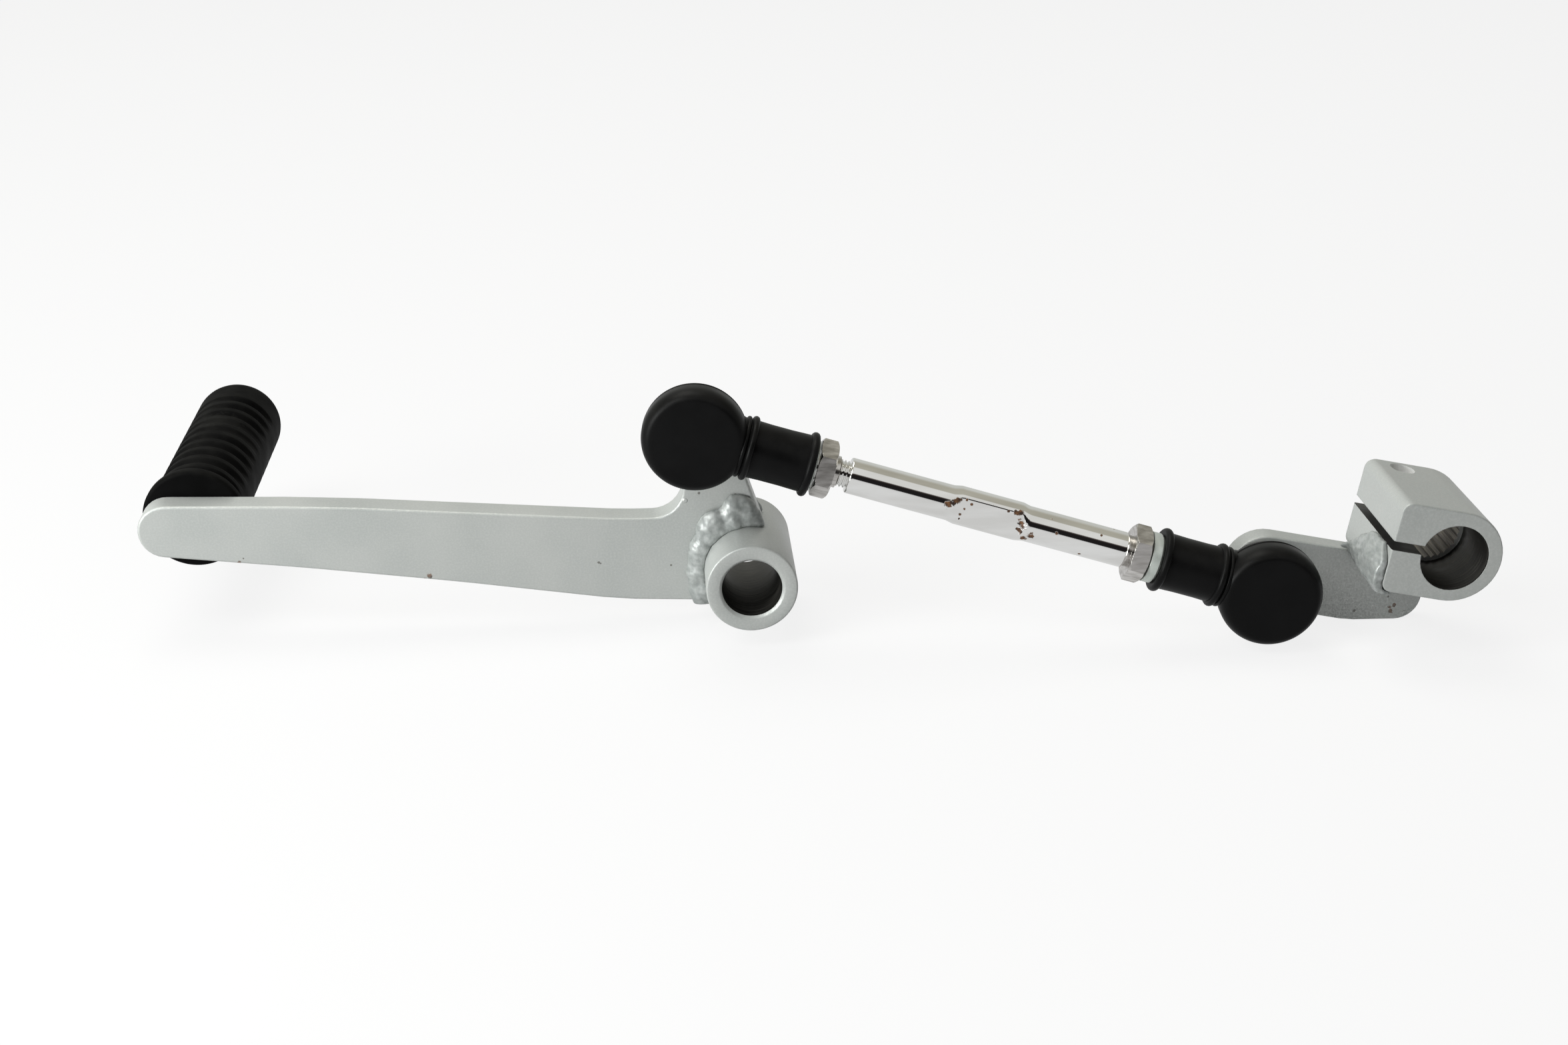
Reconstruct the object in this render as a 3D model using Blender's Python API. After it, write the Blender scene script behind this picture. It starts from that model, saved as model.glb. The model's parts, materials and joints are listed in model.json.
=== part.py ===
"""Motorcycle gear shift lever with its jointed tie rod and splined clamp arm.

Lengths are in metres and +Z is up. X runs along the lever to the right and Y runs
along the pivot tube to the back. The origin lies on the axis of the pivot tube, in
the plane of the lever plate's front face.
"""

import math

import bpy
import bmesh
from mathutils import Matrix, Vector

for old in list(bpy.data.objects):
    bpy.data.objects.remove(old, do_unlink=True)

# Running clearance between neighbouring pieces
GAP = 0.0003

# Pivot tube
TUBE_RADIUS = 0.0090
TUBE_BORE_RADIUS = 0.0058
TUBE_FRONT = 0.0122
TUBE_LENGTH = 0.0266
TUBE_BORE_CHAMFER = 0.0007
TUBE_REAR_CHAMFER = 0.0002
TUBE_EDGE_CHAMFER = 0.0004

# Lever plate, a flat bar that turns up to the left ball stud
PLATE_THICKNESS = 0.0060
PLATE_EDGE_ROUND = 0.0006
TOE_TIP_X = -0.1195
TOE_TOP_Z = 0.0157
TOE_BOTTOM_Z = 0.0053
TOE_CORNER_RADIUS = 0.0053
BAR_TOP_BEND_X = -0.0840
BAR_TOP_BEND_Z = 0.0148
BAR_HEEL_X = -0.0250
BAR_HEEL_Z = 0.0105
HEEL_FILLET_RADIUS = 0.0062
BAR_LOW_BEND_X = -0.0880
BAR_LOW_BEND_Z = 0.00175
BAR_MIDDLE_BEND_X = -0.0580
BAR_MIDDLE_BEND_Z = -0.0022
BAR_BOTTOM_BEND_X = -0.0260
BAR_BOTTOM_BEND_Z = -0.0070
BAR_BOTTOM_Z = -0.0081
BAR_BEND_RADIUS = 0.0600
RISER_RIGHT = 0.0056
RISER_LEFT = 0.0066
RISER_END = 0.0044
RISER_CORNER = 0.0044

# Weld beads round the pivot tube: the legs along the tube and up the plate, by angle
WELD_LEG = 0.0021
WELD_WIDTH = 0.0031
WELD_RISER_WIDTH = 0.0062
WELD_RISER_ANGLE = 97.0
WELD_SHOULDER_WIDTH = 0.0047
WELD_SHOULDER_ANGLE = 124.0
WELD_FOOT_WIDTH = 0.0042
WELD_START_ANGLE = 72.0
WELD_END_ANGLE = 229.0
REAR_WELD_SHARE = 0.8

# Toe peg
PEG_X = -0.1097
PEG_Z = 0.0102
PEG_LEAN = 0.7
PEG_PIN_RADIUS = 0.0045
PEG_SPIGOT_RADIUS = 0.0040
PEG_SPIGOT_DEPTH = 0.0030
PEG_RUBBER_RADIUS = 0.00907
PEG_RUBBER_LENGTH = 0.0590
PEG_END_ROUND = 0.0048
PEG_END_WALL = 0.0032
PEG_FLANGE_RADIUS = 0.0101
PEG_FLANGE_THICKNESS = 0.0027
PEG_GROOVES = 10
PEG_GROOVE_PITCH = 0.0046
PEG_GROOVE_DEPTH = 0.0009
PEG_GROOVE_FIRST = 0.0046

# Ball joints, the same on both ends of the rod
BALL_RADIUS = 0.0040
BALL_TO_PLATE = 0.0085
STUD_NECK_RADIUS = 0.0023
STUD_COLLAR_RADIUS = 0.0040
STUD_COLLAR_WIDTH = 0.0013
STUD_SPIGOT_RADIUS = 0.0025
RIVET_HEAD_RADIUS = 0.0038
RIVET_HEAD_HEIGHT = 0.0016
SEAT_RADIUS = 0.0062
SEAT_REAR = 0.0024
SOCKET_WALL = 0.0012
SOCKET_FLOOR = 0.0006
SOCKET_LIP = 0.0006
SOCKET_MOUTH_RADIUS = 0.0044
SHANK_RADIUS = 0.0045
SHANK_COLLAR_RADIUS = 0.0050
SHANK_HOLE_START = 0.0095
SEAL_RING_RADIUS = 0.0060
SEAL_RING_WIDTH = 0.00105

# Rubber boots over the sockets
BOOT_RADIUS = 0.0102
BOOT_FACE_RADIUS = 0.0082
BOOT_FACE_WALL = 0.0009
BOOT_SHOULDER = 0.0031
BOOT_RIM = -0.0009
BOOT_REAR_WALL = 0.0007
BOOT_LIP_RADIUS = 0.0062
BOOT_LIP_REAR = 0.0059
BOOT_MOUTH_RADIUS = 0.0040
BOOT_NECK_WALL = 0.0008
BOOT_NECK_END = 0.0231
BEAD_HEIGHT = 0.00075
BEAD_WIDTH = 0.0017
BEAD_INNER = 0.0107

# Tie rod and its lock nuts, each end measured from its own ball
ROD_RADIUS = 0.0035
THREAD_RADIUS = 0.0025
THREAD_RIDGE = 0.00016
ROD_SHOULDER_LEFT = 0.0305
ROD_SHOULDER_RIGHT = 0.0297
FLAT_LENGTH = 0.0155
FLAT_OFF_MIDDLE = 0.0006
FLAT_HALF = 0.0026
FLAT_BULGE = 0.00035
FLAT_RUNOUT = 0.0015
THREAD_TIP = 0.0010
NUT_FLATS = 0.0100
NUT_THICKNESS = 0.0034
NUT_LEFT = 0.0240
NUT_RIGHT = 0.0255
NUT_TURN = 18.5

# Where the balls are and how the rod and the arm lie
BALL_LEFT_X = -0.0106
BALL_LEFT_Z = 0.0314
ROD_LENGTH = 0.1165
ROD_SLOPE = 16.2
ROD_TILT = 4.0
ARM_SLOPE = 11.56

# Arm plate, in the frame of the right ball
ARM_THICKNESS = 0.0045
ARM_EDGE_ROUND = 0.0005
ARM_END_RADIUS = 0.0076
ARM_END_X = 0.0018
ARM_TOP = 0.0078
ARM_TIP_X = 0.0353
ARM_BEND_X = 0.0215
ARM_TIP_BOTTOM = -0.0047
ARM_TIP_RADIUS = 0.0052
ARM_TIP_CORNER = 0.0015

# Splined clamp, in the same frame
CLAMP_BORE_X = 0.0292
CLAMP_FRONT = 0.0124
CLAMP_LENGTH = 0.0240
CLAMP_ROUND = 0.0095
CLAMP_TOP = 0.0094
CLAMP_BOTTOM = 0.00905
CLAMP_EAR = 0.0130
CLAMP_LEAN = 0.0008
CLAMP_CORNER = 0.0020
CLAMP_EDGE_ROUND = 0.0004
COUNTERBORE_RADIUS = 0.00663
COUNTERBORE_DEPTH = 0.0140
SPLINE_TEETH = 28
SPLINE_TIP_RADIUS = 0.0056
SPLINE_ROOT_RADIUS = 0.0060
SLOT_WIDTH = 0.0018
SLOT_RISE = 0.0005
PINCH_RADIUS = 0.00245
PINCH_X = 0.0066
PINCH_FROM_REAR = 0.0037
PINCH_END = 0.0020
CLAMP_WELD_REACH = 0.0150
CLAMP_WELD_BULGE = 0.0006
CLAMP_WELD_RIPPLE = 0.0005

# Places that follow from the sizes above
NOTCH_RADIUS = TUBE_RADIUS + GAP
STUD_HOLE_RADIUS = STUD_SPIGOT_RADIUS + GAP
BALL_LEFT = Vector((BALL_LEFT_X, -BALL_TO_PLATE, BALL_LEFT_Z))
slope = math.radians(ROD_SLOPE)
tilt = math.radians(ROD_TILT)
ROD_AXIS = Vector((
    math.cos(slope) * math.cos(tilt),
    -math.sin(tilt),
    -math.sin(slope) * math.cos(tilt),
))
ROD_UP = Vector((math.sin(slope), 0.0, math.cos(slope)))
BALL_RIGHT = BALL_LEFT + ROD_LENGTH * ROD_AXIS
SEAT_BORE_RADIUS = BALL_RADIUS + GAP
SEAT_FRONT = BALL_RADIUS
SOCKET_BORE_RADIUS = SEAT_RADIUS + GAP
SOCKET_RADIUS = SOCKET_BORE_RADIUS + SOCKET_WALL
SOCKET_FRONT = SEAT_FRONT + GAP + SOCKET_FLOOR
SOCKET_REAR = SEAT_REAR + GAP + SOCKET_LIP
BOOT_BORE_RADIUS = SOCKET_RADIUS + GAP
BOOT_FACE = SOCKET_FRONT + GAP + BOOT_FACE_WALL
BOOT_NECK_BORE = SHANK_RADIUS + GAP
BOOT_NECK_RADIUS = BOOT_NECK_BORE + BOOT_NECK_WALL
BEAD_OUTER = BOOT_NECK_END - BEAD_WIDTH / 2
THREAD_HOLE_RADIUS = THREAD_RADIUS + GAP
SHANK_END_LEFT = NUT_LEFT - GAP
SHANK_END_RIGHT = NUT_RIGHT - GAP
CLAMP_BORE_Z = ARM_TOP + GAP + CLAMP_BOTTOM
PEG_FACE_GAP = GAP + PEG_FLANGE_RADIUS * math.sin(math.radians(PEG_LEAN))


def material(name, color, roughness, metallic):
    """Make one plain material."""
    made = bpy.data.materials.new(name)
    made.use_nodes = True
    shader = made.node_tree.nodes["Principled BSDF"]
    shader.inputs["Base Color"].default_value = (*color, 1.0)
    shader.inputs["Roughness"].default_value = roughness
    shader.inputs["Metallic"].default_value = metallic
    made.diffuse_color = (*color, 1.0)
    return made


def skin(name, rings, start=None, end=None, closed=False):
    """Join rings of points into one closed surface, with flat or pointed ends."""
    bm = bmesh.new()
    loops = [[bm.verts.new(point) for point in ring] for ring in rings]
    pairs = list(zip(loops, loops[1:]))
    if closed:
        pairs.append((loops[-1], loops[0]))
    for first, second in pairs:
        count = len(first)
        for i in range(count):
            j = (i + 1) % count
            bm.faces.new((first[i], first[j], second[j], second[i]))
    if not closed:
        for loop, tip in ((loops[0], start), (loops[-1], end)):
            if tip is None:
                bm.faces.new(loop)
                continue
            pole = bm.verts.new(tip)
            for i in range(len(loop)):
                bm.faces.new((loop[i], loop[(i + 1) % len(loop)], pole))
    bmesh.ops.recalc_face_normals(bm, faces=bm.faces)
    mesh = bpy.data.meshes.new(name)
    bm.to_mesh(mesh)
    bm.free()
    mesh.shade_smooth()
    mesh.set_sharp_from_angle(angle=math.radians(32.0))
    return mesh


def turned(name, profile, segments, along="Y"):
    """Turn a profile of (radius, distance) about the Y or the X axis."""
    def point(radius, distance, angle):
        a = radius * math.cos(angle)
        b = radius * math.sin(angle)
        if along == "Y":
            return (a, distance, b)
        return (distance, a, b)

    steps = [2 * math.pi * i / segments for i in range(segments)]
    body = [p for p in profile if p[0] > 1e-9]
    rings = [[point(r, d, angle) for angle in steps] for r, d in body]
    if profile[0][0] > 1e-9:
        return skin(name, rings, closed=True)
    start = point(0.0, profile[0][1], 0.0)
    end = point(0.0, profile[-1][1], 0.0)
    return skin(name, rings, start, end)


def prism(name, outline, front, back):
    """Push an outline in X and Z through from front to back."""
    rings = [[(x, y, z) for x, z in outline] for y in (front, back)]
    return skin(name, rings)


def rod_between(name, start, end, radius, segments):
    """Make a plain round bar between two points."""
    start = Vector(start)
    axis = (Vector(end) - start).normalized()
    side = axis.orthogonal().normalized()
    other = axis.cross(side)
    rings = []
    for centre in (start, Vector(end)):
        ring = []
        for i in range(segments):
            angle = 2 * math.pi * i / segments
            ring.append(centre + radius * (math.cos(angle) * side + math.sin(angle) * other))
        rings.append(ring)
    return skin(name, rings)


def arc(centre, radius, start, end, count):
    """Points on an arc, in degrees."""
    points = []
    for i in range(count + 1):
        angle = math.radians(start + (end - start) * i / count)
        points.append((
            centre[0] + radius * math.cos(angle),
            centre[1] + radius * math.sin(angle),
        ))
    return points


def rounded(corners, step=12.0):
    """Round the corners of an outline, each with its own radius."""
    points = []
    count = len(corners)
    for i in range(count):
        x, z, radius = corners[i]
        here = Vector((x, z))
        if radius <= 0.0:
            points.append((x, z))
            continue
        before = Vector(corners[i - 1][:2]) - here
        after = Vector(corners[(i + 1) % count][:2]) - here
        before.normalize()
        after.normalize()
        half = before.angle(after) / 2
        centre = here + (before + after).normalized() * radius / math.sin(half)
        first = here + before * radius / math.tan(half) - centre
        last = here + after * radius / math.tan(half) - centre
        sweep = math.atan2(first.x * last.y - first.y * last.x, first.dot(last))
        parts = max(1, math.ceil(abs(math.degrees(sweep)) / step))
        base = math.atan2(first.y, first.x)
        for k in range(parts + 1):
            angle = base + sweep * k / parts
            points.append((
                centre.x + radius * math.cos(angle),
                centre.y + radius * math.sin(angle),
            ))
    return points


def place(name, mesh, look, parent=None, location=(0.0, 0.0, 0.0), rotation=(0.0, 0.0, 0.0)):
    """Put a mesh in the scene as a named piece."""
    piece = bpy.data.objects.new(name, mesh)
    bpy.context.scene.collection.objects.link(piece)
    piece.parent = parent
    piece.location = location
    piece.rotation_euler = rotation
    if look is not None and not mesh.materials:
        mesh.materials.append(look)
    return piece


def shape(piece, mesh, operation):
    """Cut, join or trim a piece with another shape in the same place."""
    cutter = place(mesh.name, mesh, None, piece.parent, piece.location, piece.rotation_euler)
    cutter.hide_render = True
    cutter.display_type = "WIRE"
    step = piece.modifiers.new(operation.title(), "BOOLEAN")
    step.operation = operation
    step.solver = "EXACT"
    step.object = cutter
    return cutter


def soften(piece, width):
    """Round the sharp edges of a piece."""
    step = piece.modifiers.new("Edge round", "BEVEL")
    step.width = width
    step.segments = 2
    step.limit_method = "ANGLE"
    step.angle_limit = math.radians(50.0)


def frame(name, location, matrix):
    """An empty on a joint, which carries the pieces that turn on it."""
    made = bpy.data.objects.new(name, None)
    bpy.context.scene.collection.objects.link(made)
    made.empty_display_size = 0.01
    made.matrix_world = Matrix.Translation(location) @ matrix.to_4x4()
    return made


# Materials
silver_paint = material("silver_paint", (0.60, 0.61, 0.59), 0.42, 0.35)
weld_metal = material("weld_metal", (0.64, 0.65, 0.62), 0.38, 0.45)
black_rubber = material("black_rubber", (0.014, 0.014, 0.015), 0.75, 0.0)
zinc_steel = material("zinc_steel", (0.62, 0.60, 0.57), 0.28, 1.0)
chrome = material("chrome", (0.78, 0.77, 0.75), 0.12, 1.0)
pale_steel = material("pale_steel", (0.66, 0.70, 0.66), 0.40, 0.3)
white_nylon = material("white_nylon", (0.80, 0.79, 0.74), 0.45, 0.0)


def lever_outline():
    """Side view of the lever plate before the tube's notch is cut."""
    stud = Vector((BALL_LEFT_X, BALL_LEFT_Z))
    along = stud.normalized()
    across = Vector((along.y, -along.x))
    low = across * RISER_RIGHT
    right = stud + along * RISER_END + across * RISER_RIGHT
    left = stud + along * RISER_END - across * RISER_LEFT
    reach = (BAR_HEEL_Z + across.y * RISER_LEFT) / along.y
    heel = along * reach - across * RISER_LEFT
    corners = [
        (low.x, low.y, 0.0),
        (right.x, right.y, RISER_CORNER),
        (left.x, left.y, RISER_CORNER),
        (heel.x, heel.y, HEEL_FILLET_RADIUS),
        (BAR_HEEL_X, BAR_HEEL_Z, BAR_BEND_RADIUS),
        (BAR_TOP_BEND_X, BAR_TOP_BEND_Z, BAR_BEND_RADIUS * 5),
        (TOE_TIP_X, TOE_TOP_Z, TOE_CORNER_RADIUS),
        (TOE_TIP_X, TOE_BOTTOM_Z, TOE_CORNER_RADIUS),
        (BAR_LOW_BEND_X, BAR_LOW_BEND_Z, BAR_BEND_RADIUS * 5),
        (BAR_MIDDLE_BEND_X, BAR_MIDDLE_BEND_Z, BAR_BEND_RADIUS * 5),
        (BAR_BOTTOM_BEND_X, BAR_BOTTOM_BEND_Z, BAR_BEND_RADIUS),
        (-TUBE_RADIUS / 9, BAR_BOTTOM_Z, 0.0),
    ]
    return rounded(corners)


def lever_plate():
    """Stamped plate with a notch for the tube and holes for the stud and the peg."""
    piece = place(
        "lever_plate",
        prism("lever_plate", lever_outline(), 0.0, PLATE_THICKNESS),
        silver_paint,
    )
    soften(piece, PLATE_EDGE_ROUND)
    far = PLATE_THICKNESS + TUBE_RADIUS
    notch = rod_between("tube_notch", (0, -TUBE_RADIUS, 0), (0, far, 0), NOTCH_RADIUS, 60)
    shape(piece, notch, "DIFFERENCE")
    x = BALL_LEFT_X
    z = BALL_LEFT_Z
    hole = rod_between("left_stud_hole", (x, -far, z), (x, far, z), STUD_HOLE_RADIUS, 28)
    shape(piece, hole, "DIFFERENCE")
    floor = PLATE_THICKNESS - PEG_SPIGOT_DEPTH
    blind = rod_between(
        "peg_hole",
        (PEG_X, floor, PEG_Z),
        (PEG_X, far, PEG_Z),
        PEG_SPIGOT_RADIUS + GAP,
        28,
    )
    shape(piece, blind, "DIFFERENCE")


def pivot_tube():
    """Turned tube that the lever swings on."""
    front = -TUBE_FRONT
    rear = TUBE_LENGTH - TUBE_FRONT
    chamfer = TUBE_BORE_CHAMFER
    edge = TUBE_EDGE_CHAMFER
    profile = [
        (TUBE_BORE_RADIUS, front + chamfer),
        (TUBE_BORE_RADIUS + chamfer, front),
        (TUBE_RADIUS - edge, front),
        (TUBE_RADIUS, front + edge),
        (TUBE_RADIUS, rear - edge),
        (TUBE_RADIUS - edge, rear),
        (TUBE_BORE_RADIUS + TUBE_REAR_CHAMFER, rear),
        (TUBE_BORE_RADIUS, rear - TUBE_REAR_CHAMFER),
    ]
    place("pivot_tube", turned("pivot_tube", profile, 44), silver_paint)


def weld_width(angle):
    """Leg on the plate: wide up the riser, a hump at the shoulder, narrow beside the tube."""
    side = (WELD_SHOULDER_ANGLE + WELD_END_ANGLE) / 2
    marks = [
        (WELD_START_ANGLE, WELD_WIDTH / 3),
        (WELD_RISER_ANGLE, WELD_RISER_WIDTH),
        ((WELD_RISER_ANGLE + WELD_SHOULDER_ANGLE) / 2 + 4.0, 0.95 * WELD_SHOULDER_WIDTH),
        (WELD_SHOULDER_ANGLE, WELD_SHOULDER_WIDTH),
        (side - 20.0, WELD_WIDTH),
        (side, 0.9 * WELD_WIDTH),
        (WELD_END_ANGLE, WELD_FOOT_WIDTH),
    ]
    for (low, first), (high, last) in zip(marks, marks[1:]):
        if angle <= high:
            part = max(0.0, (angle - low) / (high - low))
            part = part * part * (3.0 - 2.0 * part)
            return first + (last - first) * part
    return WELD_FOOT_WIDTH


def weld_ring(name, face, direction, share):
    """Fillet weld in the corner between the tube and one face of the plate."""
    sections = []
    steps = 36
    for i in range(steps + 1):
        part = i / steps
        turned_to = WELD_START_ANGLE + (WELD_END_ANGLE - WELD_START_ANGLE) * part
        angle = math.radians(turned_to)
        lump = 0.05 * math.sin(37.0 * part) + 0.03 * math.sin(61.0 * part + 1.0)
        width = share * weld_width(turned_to) * (1.0 + lump)
        leg = share * WELD_LEG * (1.0 + 1.4 * lump) * min(1.0, 0.4 + 5.0 * min(part, 1.0 - part))
        ring = [(NOTCH_RADIUS, 0.0)]
        for k in range(6):
            turn = math.radians(90.0 * k / 5)
            ring.append((NOTCH_RADIUS + width * math.cos(turn), leg * math.sin(turn)))
        sections.append([
            (r * math.cos(angle), face + direction * (GAP + d), r * math.sin(angle))
            for r, d in ring
        ])
    piece = place(name, skin(name, sections), weld_metal)
    plate_side = prism(name + "_side", lever_outline(), -TUBE_LENGTH, TUBE_LENGTH)
    shape(piece, plate_side, "INTERSECT")


def peg_pin():
    """Steel pin inside the toe rubber, fixed in the back of the plate."""
    shoulder = PLATE_THICKNESS + PEG_FACE_GAP
    end = shoulder + PEG_RUBBER_LENGTH - PEG_END_WALL - GAP
    chamfer = 0.0006
    profile = [
        (0.0, PLATE_THICKNESS - PEG_SPIGOT_DEPTH + GAP),
        (PEG_SPIGOT_RADIUS, PLATE_THICKNESS - PEG_SPIGOT_DEPTH + GAP),
        (PEG_SPIGOT_RADIUS, shoulder),
        (PEG_PIN_RADIUS, shoulder),
        (PEG_PIN_RADIUS, end - chamfer),
        (PEG_PIN_RADIUS - chamfer, end),
        (0.0, end),
    ]
    lean = (0.0, 0.0, -math.radians(PEG_LEAN))
    place("peg_pin", turned("peg_pin", profile, 24), zinc_steel, None, (PEG_X, 0.0, PEG_Z), lean)


def peg_rubber():
    """Toe rubber with a flange and with grooves across its top and its bottom."""
    start = PLATE_THICKNESS + PEG_FACE_GAP
    end = start + PEG_RUBBER_LENGTH
    bore = PEG_PIN_RADIUS + GAP
    edge = 0.0007
    rims = [
        (PEG_FLANGE_RADIUS - edge, start, 0.0),
        (PEG_FLANGE_RADIUS, start + edge, 0.0),
        (PEG_FLANGE_RADIUS, start + PEG_FLANGE_THICKNESS - edge, 0.0),
        (PEG_FLANGE_RADIUS - edge, start + PEG_FLANGE_THICKNESS, 0.0),
    ]
    for i in range(PEG_GROOVES):
        middle = start + PEG_GROOVE_FIRST + i * PEG_GROOVE_PITCH
        rims.append((PEG_RUBBER_RADIUS, middle - 0.32 * PEG_GROOVE_PITCH, 0.0))
        rims.append((PEG_RUBBER_RADIUS, middle - 0.14 * PEG_GROOVE_PITCH, PEG_GROOVE_DEPTH))
        rims.append((PEG_RUBBER_RADIUS, middle + 0.14 * PEG_GROOVE_PITCH, PEG_GROOVE_DEPTH))
        rims.append((PEG_RUBBER_RADIUS, middle + 0.32 * PEG_GROOVE_PITCH, 0.0))
    for k in range(5):
        turn = math.radians(80.0 * k / 4)
        inset = PEG_END_ROUND * (1.0 - math.cos(turn))
        rims.append((PEG_RUBBER_RADIUS - inset, end - PEG_END_ROUND * (1.0 - math.sin(turn)), 0.0))
    rings = []
    count = 28
    for radius, distance, depth in rims:
        ring = []
        for i in range(count):
            angle = 2 * math.pi * i / count
            side = min(1.0, max(0.0, (abs(math.sin(angle)) - 0.35) / 0.35))
            r = radius - depth * side
            ring.append((r * math.cos(angle), distance, r * math.sin(angle)))
        rings.append(ring)
    mesh = skin("peg_rubber", rings, end=(0.0, end, 0.0))
    lean = (0.0, 0.0, -math.radians(PEG_LEAN))
    piece = place("peg_rubber", mesh, black_rubber, None, (PEG_X, 0.0, PEG_Z), lean)
    hole = rod_between("peg_bore", (0, 0, 0), (0, end - PEG_END_WALL, 0), bore, 28)
    shape(piece, hole, "DIFFERENCE")


def ball_stud(name, centre, thickness, parent=None):
    """Ball on a neck with a collar, a spigot through the plate and a riveted head."""
    neck = math.degrees(math.asin(STUD_NECK_RADIUS / BALL_RADIUS))
    profile = [(0.0, -BALL_RADIUS)]
    for i in range(1, 10):
        turn = math.radians((180.0 - neck) * i / 9)
        profile.append((BALL_RADIUS * math.sin(turn), -BALL_RADIUS * math.cos(turn)))
    collar = BALL_TO_PLATE - GAP
    head = BALL_TO_PLATE + thickness + GAP
    profile += [
        (STUD_NECK_RADIUS, collar - STUD_COLLAR_WIDTH),
        (STUD_COLLAR_RADIUS, collar - STUD_COLLAR_WIDTH),
        (STUD_COLLAR_RADIUS, collar),
        (STUD_SPIGOT_RADIUS, collar),
        (STUD_SPIGOT_RADIUS, head),
        (RIVET_HEAD_RADIUS, head),
        (RIVET_HEAD_RADIUS, head + 0.35 * RIVET_HEAD_HEIGHT),
        (0.6 * RIVET_HEAD_RADIUS, head + RIVET_HEAD_HEIGHT),
        (0.0, head + RIVET_HEAD_HEIGHT),
    ]
    place(name, turned(name, profile, 20), zinc_steel, parent, centre)


def seal_ring(name, centre, parent=None):
    """Ring on the stud's collar that the boot's lip faces."""
    rear = BALL_TO_PLATE - GAP
    front = rear - SEAL_RING_WIDTH
    inner = STUD_COLLAR_RADIUS + GAP
    profile = [
        (inner, front),
        (SEAL_RING_RADIUS - 0.0003, front),
        (SEAL_RING_RADIUS, front + 0.0003),
        (SEAL_RING_RADIUS, rear),
        (inner, rear),
    ]
    place(name, turned(name, profile, 28), white_nylon, parent, centre)


def ball_seat_mesh():
    """Plastic seat that wraps the ball."""
    low = math.asin(SEAT_REAR / SEAT_BORE_RADIUS)
    high = math.asin(-SEAT_FRONT / SEAT_BORE_RADIUS)
    profile = [(SEAT_RADIUS, -SEAT_FRONT), (SEAT_RADIUS, SEAT_REAR)]
    for i in range(9):
        turn = low + (high - low) * i / 8
        profile.append((SEAT_BORE_RADIUS * math.cos(turn), SEAT_BORE_RADIUS * math.sin(turn)))
    return turned("ball_seat", profile, 20)


def socket(name, end, parent, location, rotation):
    """Steel cup with a crimped lip, on a shank that the rod screws into."""
    edge = 0.0006
    mouth = SOCKET_REAR - SOCKET_LIP
    profile = [
        (0.0, -SOCKET_FRONT),
        (SOCKET_RADIUS - edge, -SOCKET_FRONT),
        (SOCKET_RADIUS, -SOCKET_FRONT + edge),
        (SOCKET_RADIUS, SOCKET_REAR - edge),
        (SOCKET_RADIUS - edge, SOCKET_REAR),
        (SOCKET_MOUTH_RADIUS, SOCKET_REAR),
        (SOCKET_MOUTH_RADIUS, mouth),
        (SOCKET_BORE_RADIUS, mouth),
        (SOCKET_BORE_RADIUS, -SOCKET_FRONT + SOCKET_FLOOR),
        (0.0, -SOCKET_FRONT + SOCKET_FLOOR),
    ]
    piece = place(name, turned(name, profile, 28), pale_steel, parent, location, rotation)
    root = SOCKET_BORE_RADIUS + 0.15 * SOCKET_WALL
    shank = [
        (0.0, root),
        (SHANK_RADIUS, root),
        (SHANK_RADIUS, BOOT_NECK_END + GAP),
        (SHANK_COLLAR_RADIUS, BOOT_NECK_END + GAP),
        (SHANK_COLLAR_RADIUS, end),
        (0.0, end),
    ]
    shape(piece, turned(name + "_shank", shank, 24, "X"), "UNION")
    hole = rod_between(
        name + "_thread_hole",
        (SHANK_HOLE_START, 0, 0),
        (end + SHANK_RADIUS, 0, 0),
        THREAD_HOLE_RADIUS,
        20,
    )
    shape(piece, hole, "DIFFERENCE")


def neck_profile():
    """Outline of the boot's neck with a bead at each end."""
    radius = BOOT_NECK_RADIUS
    ridge = BEAD_INNER - 0.75 * BEAD_WIDTH
    points = [
        (0.0, SHANK_RADIUS),
        (radius, SHANK_RADIUS),
        (radius, ridge - 0.0004),
        (radius + BEAD_HEIGHT / 2, ridge),
        (radius, ridge + 0.0004),
    ]
    for middle in (BEAD_INNER, BEAD_OUTER):
        for k in range(5):
            turn = math.pi * k / 4
            points.append((
                radius + BEAD_HEIGHT * math.sin(turn),
                middle - BEAD_WIDTH / 2 * math.cos(turn),
            ))
    points.append((0.0, BOOT_NECK_END))
    return points


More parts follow.
